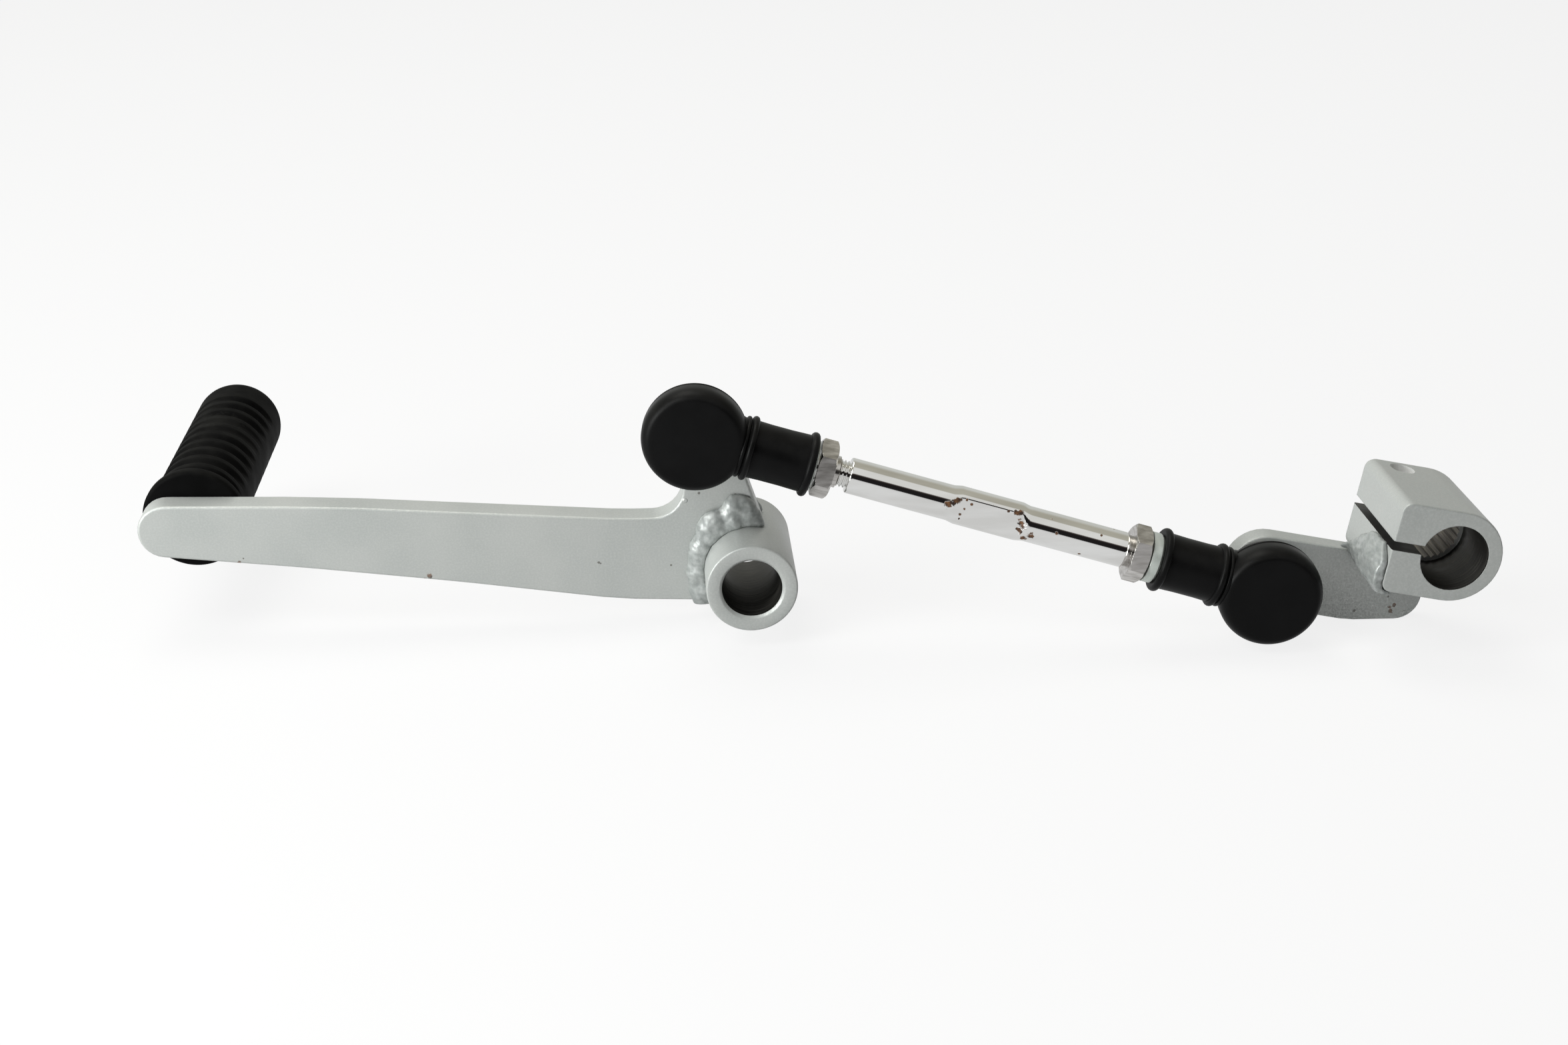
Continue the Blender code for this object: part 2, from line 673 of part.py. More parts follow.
def boot(name, parent, location, rotation):
    """Rubber boot: a round cover with a flat face, a rear rim, a lip and a neck."""
    outer = [(0.0, -BOOT_FACE)]
    for k in range(5):
        turn = math.radians(90.0 * k / 4)
        outer.append((
            BOOT_FACE_RADIUS + (BOOT_RADIUS - BOOT_FACE_RADIUS) * math.sin(turn),
            -BOOT_FACE + BOOT_SHOULDER * (1.0 - math.cos(turn)),
        ))
    rear = SOCKET_REAR + GAP
    outer += [
        (BOOT_RADIUS, BOOT_RIM),
        (BOOT_RADIUS - 0.00035, BOOT_RIM + 0.0004),
        (BOOT_RADIUS - 0.0001, BOOT_RIM + 0.0008),
        (BOOT_RADIUS - 0.0006, BOOT_RIM + 0.0018),
        (BOOT_RADIUS - 0.0012, BOOT_RIM + 0.0030),
        (BOOT_BORE_RADIUS + 0.0005, rear + BOOT_REAR_WALL),
        (BOOT_LIP_RADIUS + 0.0008, BOOT_LIP_REAR - 0.0005),
        (BOOT_LIP_RADIUS, BOOT_LIP_REAR),
        (0.0, BOOT_LIP_REAR),
    ]
    piece = place(name, turned(name, outer, 36), black_rubber, parent, location, rotation)
    shape(piece, turned(name + "_neck", neck_profile(), 28, "X"), "UNION")
    inner = [
        (0.0, -BOOT_FACE + BOOT_FACE_WALL),
        (BOOT_BORE_RADIUS - GAP, -BOOT_FACE + BOOT_FACE_WALL),
        (BOOT_BORE_RADIUS, -BOOT_FACE + BOOT_FACE_WALL + GAP),
        (BOOT_BORE_RADIUS, rear),
        (BOOT_LIP_RADIUS + 0.0003, BOOT_LIP_REAR - BOOT_REAR_WALL - 0.0003),
        (BOOT_MOUTH_RADIUS, BOOT_LIP_REAR - BOOT_REAR_WALL),
        (BOOT_MOUTH_RADIUS, BOOT_LIP_REAR + BOOT_REAR_WALL),
        (0.0, BOOT_LIP_REAR + BOOT_REAR_WALL),
    ]
    shape(piece, turned(name + "_hollow", inner, 32), "DIFFERENCE")
    root = SOCKET_BORE_RADIUS + 0.15 * SOCKET_WALL - GAP
    bore = rod_between(
        name + "_neck_bore",
        (root, 0, 0),
        (BOOT_NECK_END + BEAD_WIDTH, 0, 0),
        BOOT_NECK_BORE,
        28,
    )
    shape(piece, bore, "DIFFERENCE")


def lock_nut(name, start, parent):
    """Thin hexagon nut with chamfered corners."""
    corner = NUT_FLATS / math.sqrt(3.0)
    rings = []
    for x in (0.0, NUT_THICKNESS):
        ring = []
        for i in range(6):
            angle = math.radians(60.0 * i + NUT_TURN)
            ring.append((x, corner * math.cos(angle), corner * math.sin(angle)))
        rings.append(ring)
    piece = place(name, skin(name, rings), zinc_steel, parent, (start, 0.0, 0.0))
    flat = NUT_FLATS / 2
    fall = 0.22 * NUT_THICKNESS
    chamfer = [
        (0.0, -GAP),
        (flat * 0.88, -GAP),
        (flat * 0.98, 0.0),
        (corner * 1.03, fall),
        (corner * 1.03, NUT_THICKNESS - fall),
        (flat * 0.98, NUT_THICKNESS),
        (flat * 0.88, NUT_THICKNESS + GAP),
        (0.0, NUT_THICKNESS + GAP),
    ]
    shape(piece, turned(name + "_chamfer", chamfer, 32, "X"), "INTERSECT")
    hole = rod_between(
        name + "_thread",
        (-NUT_THICKNESS, 0, 0),
        (2 * NUT_THICKNESS, 0, 0),
        THREAD_HOLE_RADIUS,
        20,
    )
    shape(piece, hole, "DIFFERENCE")


def tie_rod(parent):
    """Rod with threaded ends and two flats pressed in for a wrench."""
    tip_left = SHANK_HOLE_START + THREAD_TIP
    tip_right = ROD_LENGTH - tip_left
    shoulder_right = ROD_LENGTH - ROD_SHOULDER_RIGHT
    flat_middle = ROD_LENGTH / 2 + FLAT_OFF_MIDDLE
    flat_start = flat_middle - FLAT_LENGTH / 2
    flat_end = flat_middle + FLAT_LENGTH / 2
    chamfer = 0.0005
    stations = [
        (tip_left, THREAD_RADIUS - chamfer, 0.0),
        (tip_left + chamfer, THREAD_RADIUS, 0.0),
    ]
    left = NUT_LEFT + NUT_THICKNESS
    ridges = 3
    pitch = (ROD_SHOULDER_LEFT - left - GAP) / ridges
    for i in range(ridges):
        middle = left + GAP + (i + 0.5) * pitch
        stations.append((middle - 0.35 * pitch, THREAD_RADIUS, 0.0))
        stations.append((middle, THREAD_RADIUS + THREAD_RIDGE, 0.0))
        stations.append((middle + 0.35 * pitch, THREAD_RADIUS, 0.0))
    stations += [
        (ROD_SHOULDER_LEFT, THREAD_RADIUS, 0.0),
        (ROD_SHOULDER_LEFT, ROD_RADIUS - chamfer / 2, 0.0),
        (ROD_SHOULDER_LEFT + chamfer / 2, ROD_RADIUS, 0.0),
        (flat_start, ROD_RADIUS, 0.0),
        (flat_start + FLAT_RUNOUT / 2, ROD_RADIUS, 0.55),
        (flat_start + FLAT_RUNOUT, ROD_RADIUS, 1.0),
        (flat_end - FLAT_RUNOUT, ROD_RADIUS, 1.0),
        (flat_end - FLAT_RUNOUT / 2, ROD_RADIUS, 0.55),
        (flat_end, ROD_RADIUS, 0.0),
        (shoulder_right - chamfer / 2, ROD_RADIUS, 0.0),
        (shoulder_right, ROD_RADIUS - chamfer / 2, 0.0),
        (shoulder_right, THREAD_RADIUS, 0.0),
        (tip_right - chamfer, THREAD_RADIUS, 0.0),
        (tip_right, THREAD_RADIUS - chamfer, 0.0),
    ]
    rings = []
    for x, radius, flat in stations:
        ring = []
        for i in range(24):
            angle = 2 * math.pi * (i + 0.5) / 24
            y = radius * math.cos(angle)
            z = radius * math.sin(angle)
            limit = ROD_RADIUS - flat * (ROD_RADIUS - FLAT_HALF)
            swell = 1.0 + flat * FLAT_BULGE / ROD_RADIUS
            y = max(-limit, min(limit, y)) if flat > 0.0 else y
            ring.append((x, y, z * swell))
        rings.append(ring)
    place("tie_rod", skin("tie_rod", rings), chrome, parent)


def arm_outline(grow=0.0):
    """Side view of the arm plate, about the right ball."""
    bottom = ARM_TOP - 2 * ARM_END_RADIUS
    tip = ARM_TIP_X + grow
    middle = (ARM_END_X, ARM_TOP - ARM_END_RADIUS)
    end = arc(middle, ARM_END_RADIUS + grow, 90.0, 270.0, 18)
    corners = [(x, z, 0.0) for x, z in end]
    corners += [
        (ARM_BEND_X, bottom - grow, ARM_END_RADIUS * 2),
        (tip, ARM_TIP_BOTTOM - grow, ARM_TIP_RADIUS + grow),
        (tip, ARM_TOP + grow, ARM_TIP_CORNER),
    ]
    return rounded(corners)


def arm_plate(parent):
    """Stamped arm between the right ball stud and the clamp."""
    back = BALL_TO_PLATE + ARM_THICKNESS
    mesh = prism("arm_plate", arm_outline(), BALL_TO_PLATE, back)
    piece = place("arm_plate", mesh, silver_paint, parent)
    soften(piece, ARM_EDGE_ROUND)
    hole = rod_between("right_stud_hole", (0, 0, 0), (0, 2 * back, 0), STUD_HOLE_RADIUS, 28)
    shape(piece, hole, "DIFFERENCE")


def clamp_outline(grow=0.0):
    """Side view of the clamp: a round on the right and square ears on the left."""
    points = []
    for i in range(25):
        angle = math.radians(90.0 - 180.0 * i / 24)
        half = CLAMP_TOP if angle > 0.0 else CLAMP_BOTTOM
        points.append((
            CLAMP_BORE_X + (CLAMP_ROUND + grow) * math.cos(angle),
            CLAMP_BORE_Z + (half + grow) * math.sin(angle),
            0.0,
        ))
    left = CLAMP_BORE_X - CLAMP_EAR - grow
    low = left + CLAMP_LEAN
    points.append((low, CLAMP_BORE_Z - CLAMP_BOTTOM - grow, CLAMP_CORNER + grow))
    points.append((left, CLAMP_BORE_Z + CLAMP_TOP + grow, CLAMP_CORNER + grow))
    return rounded(points, 18.0)


def clamp_body(parent):
    """Clamp with a counterbore, a splined bore, a slot and a pinch hole."""
    front = -CLAMP_FRONT
    rear = front + CLAMP_LENGTH
    mesh = prism("clamp_body", clamp_outline(), front, rear)
    piece = place("clamp_body", mesh, silver_paint, parent)
    soften(piece, CLAMP_EDGE_ROUND)
    x = CLAMP_BORE_X
    z = CLAMP_BORE_Z
    step = front + COUNTERBORE_DEPTH
    bore = rod_between(
        "counterbore",
        (x, front - CLAMP_EDGE_ROUND, z),
        (x, step, z),
        COUNTERBORE_RADIUS,
        40,
    )
    shape(piece, bore, "DIFFERENCE")
    teeth = []
    for i in range(2 * SPLINE_TEETH):
        angle = math.pi * i / SPLINE_TEETH
        radius = SPLINE_ROOT_RADIUS if i % 2 else SPLINE_TIP_RADIUS
        teeth.append((x + radius * math.cos(angle), z + radius * math.sin(angle)))
    spline = prism("spline", teeth, step - CLAMP_EDGE_ROUND, rear + CLAMP_EDGE_ROUND)
    shape(piece, spline, "DIFFERENCE")
    middle = z + SLOT_RISE
    slot = [
        (x, middle - SLOT_WIDTH / 2),
        (x, middle + SLOT_WIDTH / 2),
        (x - 2 * CLAMP_EAR, middle + SLOT_WIDTH / 2),
        (x - 2 * CLAMP_EAR, middle - SLOT_WIDTH / 2),
    ]
    shape(piece, prism("slot", slot, 2 * front, 2 * rear), "DIFFERENCE")
    y = rear - PINCH_FROM_REAR
    pinch = rod_between(
        "pinch_hole",
        (x - PINCH_X, y, z - CLAMP_BOTTOM + PINCH_END),
        (x - PINCH_X, y, z + 2 * CLAMP_TOP),
        PINCH_RADIUS,
        24,
    )
    shape(piece, pinch, "DIFFERENCE")


def clamp_weld(parent):
    """Weld from the plate's front face, under the clamp and up its left side."""
    left = CLAMP_BORE_X - CLAMP_EAR
    bottom = CLAMP_BORE_Z - CLAMP_BOTTOM
    slot = CLAMP_BORE_Z + SLOT_RISE - SLOT_WIDTH / 2
    back = BALL_TO_PLATE - GAP
    front = GAP - CLAMP_FRONT
    # The section's points, in fifteenths of the bead's reach from the clamp's lower left edge
    unit = CLAMP_WELD_REACH / 15
    on_plate = [(-0.8, -0.1), (0.5, -0.6), (2.4, -1.2), (6.1, -4.0), (9.3, -5.6), (13.0, -3.2), (15.0, 0.4)]
    at_front = [(-0.6, 5.6), (-1.1, 3.2), (-0.7, 1.0), (0.4, -0.4), (1.7, -0.7), (2.7, -0.6), (3.4, 0.6)]
    rings = []
    steps = 16
    for i in range(steps + 1):
        part = i / steps
        share = 1.0 - (1.0 - part) ** 1.9
        swell = 1.0 + 0.10 * math.sin(1.9 * i) + 0.06 * math.sin(4.3 * i)
        climb = (slot - bottom) * min(1.0, 0.05 + 1.6 * part) * min(1.0, 3.2 - 2.5 * part)
        ring = []
        for k, (first, last) in enumerate(zip(on_plate, at_front)):
            x = left + (first[0] + (last[0] - first[0]) * share) * unit
            z = bottom + (first[1] + (last[1] - first[1]) * share) * unit
            if k == 0:
                z = bottom + climb
            elif k == 1:
                x -= CLAMP_WELD_BULGE * swell * math.sin(math.pi * part)
                z = bottom + 0.55 * climb
            elif k == 2:
                x -= CLAMP_WELD_RIPPLE * swell * math.sin(math.pi * part)
            else:
                z -= CLAMP_WELD_RIPPLE * (swell - 1.0)
            ring.append((x, back + (front - back) * part, z))
        x, y, z = ring[-1]
        ring.append((x, y, bottom + CLAMP_CORNER))
        ring.append((left + CLAMP_CORNER, y, bottom + max(climb, CLAMP_CORNER)))
        rings.append(ring)
    piece = place("clamp_weld", skin("clamp_weld", rings), weld_metal, parent)
    clamp = prism(
        "weld_side_clamp",
        clamp_outline(GAP),
        -CLAMP_FRONT - GAP,
        CLAMP_LENGTH - CLAMP_FRONT + GAP,
    )
    shape(piece, clamp, "DIFFERENCE")


# Lever with its tube, welds, peg and left stud
lever_plate()
pivot_tube()
weld_ring("tube_weld_front", 0.0, -1.0, 1.0)
weld_ring("tube_weld_rear", PLATE_THICKNESS, 1.0, REAR_WELD_SHARE)
peg_pin()
peg_rubber()
ball_stud("ball_stud_left", BALL_LEFT, PLATE_THICKNESS)
seal_ring("seal_ring_left", BALL_LEFT)

# Rod between the two balls, in a frame on the left ball with X along the rod
rod_back = ROD_UP.cross(ROD_AXIS)
rod_matrix = Matrix((ROD_AXIS, rod_back, ROD_UP)).transposed()
rod_frame = frame("rod_frame", BALL_LEFT, rod_matrix)
seat = ball_seat_mesh()
here = (0.0, 0.0, 0.0)
there = (ROD_LENGTH, 0.0, 0.0)
turned_back = (0.0, math.pi, 0.0)
socket("socket_left", SHANK_END_LEFT, rod_frame, here, here)
place("ball_seat_left", seat, white_nylon, rod_frame)
boot("boot_left", rod_frame, here, here)
lock_nut("lock_nut_left", NUT_LEFT, rod_frame)
tie_rod(rod_frame)
lock_nut("lock_nut_right", ROD_LENGTH - NUT_RIGHT - NUT_THICKNESS, rod_frame)
socket("socket_right", SHANK_END_RIGHT, rod_frame, there, turned_back)
place("ball_seat_right", seat, white_nylon, rod_frame, there, turned_back)
boot("boot_right", rod_frame, there, turned_back)

# Arm with its clamp, in a frame on the right ball with X along the plate
arm_matrix = Matrix.Rotation(math.radians(ARM_SLOPE), 3, "Y")
arm_frame = frame("arm_frame", BALL_RIGHT, arm_matrix)
ball_stud("ball_stud_right", here, ARM_THICKNESS, arm_frame)
seal_ring("seal_ring_right", here, arm_frame)
arm_plate(arm_frame)
clamp_body(arm_frame)
clamp_weld(arm_frame)
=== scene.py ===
# %% [markdown]
# # A motorcycle gear shift lever
# The real object is a gear linkage: a pedal lever on a welded pivot tube, a chromed rod with a
# booted ball joint at each end, and a short arm with a splined clamp for the gearbox shaft.
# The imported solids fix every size. This script gives them their finish: round pieces are
# turned again with more sides, the flat pieces are copied and their edges are shaded as
# rounded, and each one gets a procedural material.

# %% Load the frame
import json
import math
import bpy
from mathutils import Matrix, Vector

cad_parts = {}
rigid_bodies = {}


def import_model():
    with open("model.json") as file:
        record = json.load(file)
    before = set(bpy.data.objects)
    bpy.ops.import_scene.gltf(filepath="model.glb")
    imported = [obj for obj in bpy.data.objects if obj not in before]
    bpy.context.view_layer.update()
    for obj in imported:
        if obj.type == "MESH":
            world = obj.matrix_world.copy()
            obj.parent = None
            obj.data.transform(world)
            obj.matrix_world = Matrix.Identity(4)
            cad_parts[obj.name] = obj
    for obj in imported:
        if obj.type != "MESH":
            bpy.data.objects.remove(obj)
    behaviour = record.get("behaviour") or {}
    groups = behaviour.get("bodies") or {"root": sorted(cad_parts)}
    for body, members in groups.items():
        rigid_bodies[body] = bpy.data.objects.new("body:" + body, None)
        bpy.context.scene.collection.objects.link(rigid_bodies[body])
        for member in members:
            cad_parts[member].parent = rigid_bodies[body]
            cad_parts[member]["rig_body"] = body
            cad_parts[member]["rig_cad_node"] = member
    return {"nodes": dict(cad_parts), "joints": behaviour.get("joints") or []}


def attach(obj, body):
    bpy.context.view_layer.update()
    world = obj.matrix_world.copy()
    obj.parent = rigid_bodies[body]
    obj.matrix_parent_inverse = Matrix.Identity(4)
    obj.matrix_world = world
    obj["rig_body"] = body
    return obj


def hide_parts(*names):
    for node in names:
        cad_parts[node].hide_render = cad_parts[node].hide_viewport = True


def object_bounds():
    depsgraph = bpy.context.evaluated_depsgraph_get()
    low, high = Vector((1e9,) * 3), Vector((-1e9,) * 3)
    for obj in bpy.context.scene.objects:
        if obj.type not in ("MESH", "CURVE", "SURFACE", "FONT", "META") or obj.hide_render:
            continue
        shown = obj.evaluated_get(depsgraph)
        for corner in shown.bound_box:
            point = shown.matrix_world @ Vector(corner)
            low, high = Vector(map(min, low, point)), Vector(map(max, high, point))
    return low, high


for old in list(bpy.data.objects):
    bpy.data.objects.remove(old, do_unlink=True)
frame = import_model()
cad_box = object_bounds()
MM = 0.001
print("solid box in mm:", [[round(c / MM, 1) for c in corner] for corner in cad_box])

# %% [markdown]
# The camera stands where the photograph was taken from: a little left of the pivot, looking
# 22.8 degrees down and 4 degrees to the right. The lens comes from the same fit of outlines.

# %% Camera
bpy.ops.object.select_all(action="DESELECT")
bpy.ops.object.camera_add(
    location=(-0.021838, -0.41311, 0.182915),
    rotation=(math.radians(67.202), 0.0, math.radians(-3.999)),
)
camera = bpy.context.object
camera.name = "camera"
camera.data.sensor_width = 36.0
camera.data.lens = 51.861
camera.data.clip_start = 0.01
bpy.context.scene.camera = camera
bpy.context.scene.view_settings.view_transform = "Standard"

# %% [markdown]
# Node trees get long quickly, so two small helpers write them: `put` adds a node and fills
# its sockets with numbers or with links, and `mix` blends two colours by a mask.

# %% Node helpers
def put(tree, kind, values, out=0, **settings):
    """Add a node, set or link its inputs, and return one of its outputs."""
    node = tree.nodes.new("ShaderNode" + kind)
    for name, value in settings.items():
        setattr(node, name, value)
    for key, value in values.items():
        if isinstance(value, bpy.types.NodeSocket):
            tree.links.new(value, node.inputs[key])
        else:
            node.inputs[key].default_value = value
    return node.outputs[out]


def mix(tree, mask, first, second):
    """Blend two colours by a mask."""
    first = first if isinstance(first, bpy.types.NodeSocket) else (*first, 1.0)
    second = second if isinstance(second, bpy.types.NodeSocket) else (*second, 1.0)
    return put(tree, "Mix", {0: mask, 6: first, 7: second}, out=2, data_type="RGBA")


def calc(tree, operation, first, second=0.0, clamp=False):
    """One step of arithmetic."""
    return put(tree, "Math", {0: first, 1: second}, operation=operation, use_clamp=clamp)


def fit(tree, value, low, high, to_low=0.0, to_high=1.0):
    """Stretch a range of values to another."""
    return put(tree, "MapRange", {0: value, 1: low, 2: high, 3: to_low, 4: to_high})


def place_coordinates(tree):
    """Position on the piece, in metres."""
    return put(tree, "TexCoord", {}, out=3)


# %% [markdown]
# The stage is a wide pale floor that the camera sees as almost white, as in the photograph,
# and that still holds the soft shadow of the linkage. A plane with a large size is enough.

# %% Floor
bpy.ops.mesh.primitive_plane_add(size=9.0, location=(0.0, 2.0, cad_box[0].z - 0.2 * MM))
floor = bpy.context.object
floor.name = "floor"
floor_look = bpy.data.materials.new("pale_floor")
floor_look.use_nodes = True
tree = floor_look.node_tree
tree.nodes.clear()
rays = tree.nodes.new("ShaderNodeLightPath")
camera_ray, glossy_ray = rays.outputs["Is Camera Ray"], rays.outputs["Is Glossy Ray"]
matt = put(tree, "BsdfDiffuse", {"Color": mix(tree, camera_ray, (0.50, 0.50, 0.50), (0.90, 0.90, 0.90))})
glow = put(tree, "Emission", {"Color": mix(tree, glossy_ray, (1.0, 1.0, 1.0), (0.80, 0.805, 0.805)), "Strength": 1.0})
seen = calc(tree, "MULTIPLY", calc(tree, "MAXIMUM", camera_ray, glossy_ray), 0.82)
both = put(tree, "MixShader", {0: seen, 1: matt, 2: glow})
floor_out = tree.nodes.new("ShaderNodeOutputMaterial")
tree.links.new(both, floor_out.inputs[0])
floor.data.materials.append(floor_look)

# %% [markdown]
# A round bar of chrome is only as good as the room it mirrors. In the photograph it shows a
# light edge, a beige ceiling, a thin white lamp, a black stripe for the dark side of the
# room, and the pale table. The world repeats that for glossy rays, by the angle from the
# front horizon up over the top to the back, and stays plain for all other rays.

# %% World
world = bpy.data.worlds.new("studio")
bpy.context.scene.world = world
world.use_nodes = True
tree = world.node_tree
tree.nodes.clear()
direction = put(tree, "TexCoord", {})
apart = tree.nodes.new("ShaderNodeSeparateXYZ")
tree.links.new(direction, apart.inputs[0])
front = calc(tree, "MULTIPLY", apart.outputs[1], -1.0)
angle = calc(tree, "ARCTAN2", apart.outputs[2], front)
turn_share = fit(tree, angle, -math.pi, math.pi)
ramp = tree.nodes.new("ShaderNodeValToRGB")
tree.links.new(turn_share, ramp.inputs[0])
bands = [
    (-180.0, (0.60, 0.60, 0.60)),
    (1.0, (0.73, 0.73, 0.73)),
    (4.0, (0.013, 0.012, 0.012)),
    (28.0, (0.014, 0.012, 0.012)),
    (34.0, (0.12, 0.10, 0.09)),
    (38.0, (0.74, 0.74, 0.73)),
    (50.0, (0.74, 0.74, 0.72)),
    (57.0, (0.46, 0.445, 0.385)),
    (120.0, (0.44, 0.425, 0.360)),
    (146.0, (0.62, 0.63, 0.60)),
    (180.0, (0.60, 0.61, 0.57)),
]
points = ramp.color_ramp.elements
while len(points) < len(bands):
    points.new(0.5)
for point, (degrees, color) in zip(points, bands):
    point.position = (degrees + 180.0) / 360.0
    point.color = (*color, 1.0)
to_right = fit(tree, apart.outputs[0], 0.15, 0.18)
height = calc(tree, "MULTIPLY", fit(tree, angle, math.radians(34), math.radians(38)), fit(tree, angle, math.radians(81), math.radians(76)))
window = calc(tree, "MULTIPLY", to_right, height)
mirrored = mix(tree, window, ramp.outputs[0], (0.76, 0.76, 0.74))
rays = tree.nodes.new("ShaderNodeLightPath")
room = mix(tree, rays.outputs["Is Glossy Ray"], (0.17, 0.17, 0.17), mirrored)
room = mix(tree, rays.outputs["Is Camera Ray"], room, (1.0, 1.0, 1.0))
light = put(tree, "Background", {"Color": room, "Strength": 1.0})
world_out = tree.nodes.new("ShaderNodeOutputWorld")
tree.links.new(light, world_out.inputs[0])

# %% [markdown]
# Soft lamps give the shapes their direction. Two stand low on the left, one of them near the
# toe, so what faces left is brightest and the front grows darker towards the clamp. A third,
# higher one throws the boot's soft shadow on the arm of the lever, and a large warm one hangs
# above and behind for the tops.

# %% Lamps
centre = (cad_box[0] + cad_box[1]) / 2


def lamp(name, place, size, power, color):
    """A square soft lamp that faces the object."""
    bpy.ops.object.light_add(type="AREA", location=place)
    made = bpy.context.object
    made.name = name
    made.data.size = size
    made.data.energy = power
    made.data.color = color
    made.rotation_euler = (centre - Vector(place)).to_track_quat("-Z", "Y").to_euler()


lamp("left_lamp", (-0.62, -0.30, 0.16), 0.25, 2.6, (0.98, 1.0, 0.99))
lamp("toe_lamp", (-0.36, -0.28, 0.12), 0.20, 0.6, (0.98, 1.0, 0.99))
lamp("upper_lamp", (-0.42, -0.28, 0.55), 0.30, 1.8, (0.98, 1.0, 0.99))
lamp("top_lamp", (-0.25, 0.35, 1.10), 0.70, 5.2, (1.0, 0.99, 0.94))

# %% [markdown]
# Effects that several finishes share are node groups. Each one reads the position on the
# piece or its surface normal and puts out a plain value, so a material can use it as colour,
# roughness or bump with its own numbers.

# %% Shared effects
def new_group(name, inputs, outputs):
    """An empty shader group with named sockets."""
    made = bpy.data.node_groups.new(name, "ShaderNodeTree")
    for label, kind, value in inputs:
        socket = made.interface.new_socket(label, in_out="INPUT", socket_type="NodeSocket" + kind)
        socket.default_value = value
    for label, kind in outputs:
        made.interface.new_socket(label, in_out="OUTPUT", socket_type="NodeSocket" + kind)
    given = made.nodes.new("NodeGroupInput").outputs
    result = made.nodes.new("NodeGroupOutput").inputs
    return made, given, result


def use(tree, made, **values):
    """Place a group in a material and return its outputs."""
    node = tree.nodes.new("ShaderNodeGroup")
    node.node_tree = made
    for label, value in values.items():
        key = label.replace("_", " ")
        if isinstance(value, bpy.types.NodeSocket):
            tree.links.new(value, node.inputs[key])
        else:
            node.inputs[key].default_value = value
    return node.outputs


def stretched(tree, given):
    """The position on the piece, scaled along each axis."""
    return put(tree, "VectorMath", {0: place_coordinates(tree), 1: given["Stretch"]}, operation="MULTIPLY")


# Grain: fine noise, which becomes brush lines when it is stretched
grain, given, result = new_group(
    "Grain",
    [("Scale", "Float", 900.0), ("Stretch", "Vector", (1.0, 1.0, 1.0)), ("Detail", "Float", 3.0)],
    [("Value", "Float")],
)
noise = put(grain, "TexNoise", {"Vector": stretched(grain, given), "Scale": given["Scale"], "Detail": given["Detail"]})
grain.links.new(noise, result["Value"])

# Specks: small round dots, only some of the cells of a grid of random points
specks, given, result = new_group(
    "Specks",
    [("Scale", "Float", 300.0), ("Size", "Float", 0.2), ("Share", "Float", 0.2)],
    [("Mask", "Float")],
)
cells = specks.nodes.new("ShaderNodeTexVoronoi")
specks.links.new(place_coordinates(specks), cells.inputs["Vector"])
specks.links.new(given["Scale"], cells.inputs["Scale"])
chance = specks.nodes.new("ShaderNodeSeparateColor")
specks.links.new(cells.outputs["Color"], chance.inputs[0])
chosen = calc(specks, "LESS_THAN", chance.outputs[0], given["Share"])
reach = calc(specks, "MULTIPLY", given["Size"], fit(specks, chance.outputs[1], 0.0, 1.0, 0.4, 1.0))
near = fit(specks, calc(specks, "DIVIDE", cells.outputs["Distance"], reach), 0.6, 1.0, 1.0, 0.0)
specks.links.new(calc(specks, "MULTIPLY", chosen, near, clamp=True), result["Mask"])

# Edge wear and edge light: where a rounded normal differs from the true one, broken up by noise. It marks real wear on
# the paint, and painted highlight and shade on the rubber and the sockets.
edge_wear_and_light, given, result = new_group(
    "Edge wear and painted edge light",
    [("Radius", "Float", 0.0004), ("Scale", "Float", 700.0), ("Cover", "Float", 0.5)],
    [("Mask", "Float")],
)
soft_normal = put(edge_wear_and_light, "Bevel", {0: given["Radius"]}, samples=6)
true_normal = put(edge_wear_and_light, "NewGeometry", {}, out=1)
agree = put(edge_wear_and_light, "VectorMath", {0: soft_normal, 1: true_normal}, out=1, operation="DOT_PRODUCT")
edge = fit(edge_wear_and_light, agree, 0.98, 0.80)
noise = put(edge_wear_and_light, "TexNoise", {"Vector": place_coordinates(edge_wear_and_light), "Scale": given["Scale"], "Detail": 4.0})
broken = calc(edge_wear_and_light, "SUBTRACT", calc(edge_wear_and_light, "ADD", given["Cover"], 0.35), noise)
broken = fit(edge_wear_and_light, broken, 0.0, 0.12)
edge_wear_and_light.links.new(calc(edge_wear_and_light, "MULTIPLY", edge, broken, clamp=True), result["Mask"])

# Spot: one ragged stain round a named place
spot, given, result = new_group(
    "Spot",
    [("Centre", "Vector", (0.0, 0.0, 0.0)), ("Radius", "Float", 0.001), ("Ragged", "Float", 0.0004)],
    [("Mask", "Float")],
)
jitter = put(spot, "TexNoise", {"Vector": place_coordinates(spot), "Scale": 1400.0, "Detail": 4.0})
away = put(spot, "VectorMath", {0: place_coordinates(spot), 1: given["Centre"]}, out=1, operation="DISTANCE")
shift = calc(spot, "MULTIPLY", calc(spot, "SUBTRACT", jitter, 0.5), given["Ragged"])
away = calc(spot, "DIVIDE", calc(spot, "ADD", away, calc(spot, "MULTIPLY", shift, 4.0)), given["Radius"])
spot.links.new(fit(spot, away, 0.7, 1.0, 1.0, 0.0), result["Mask"])

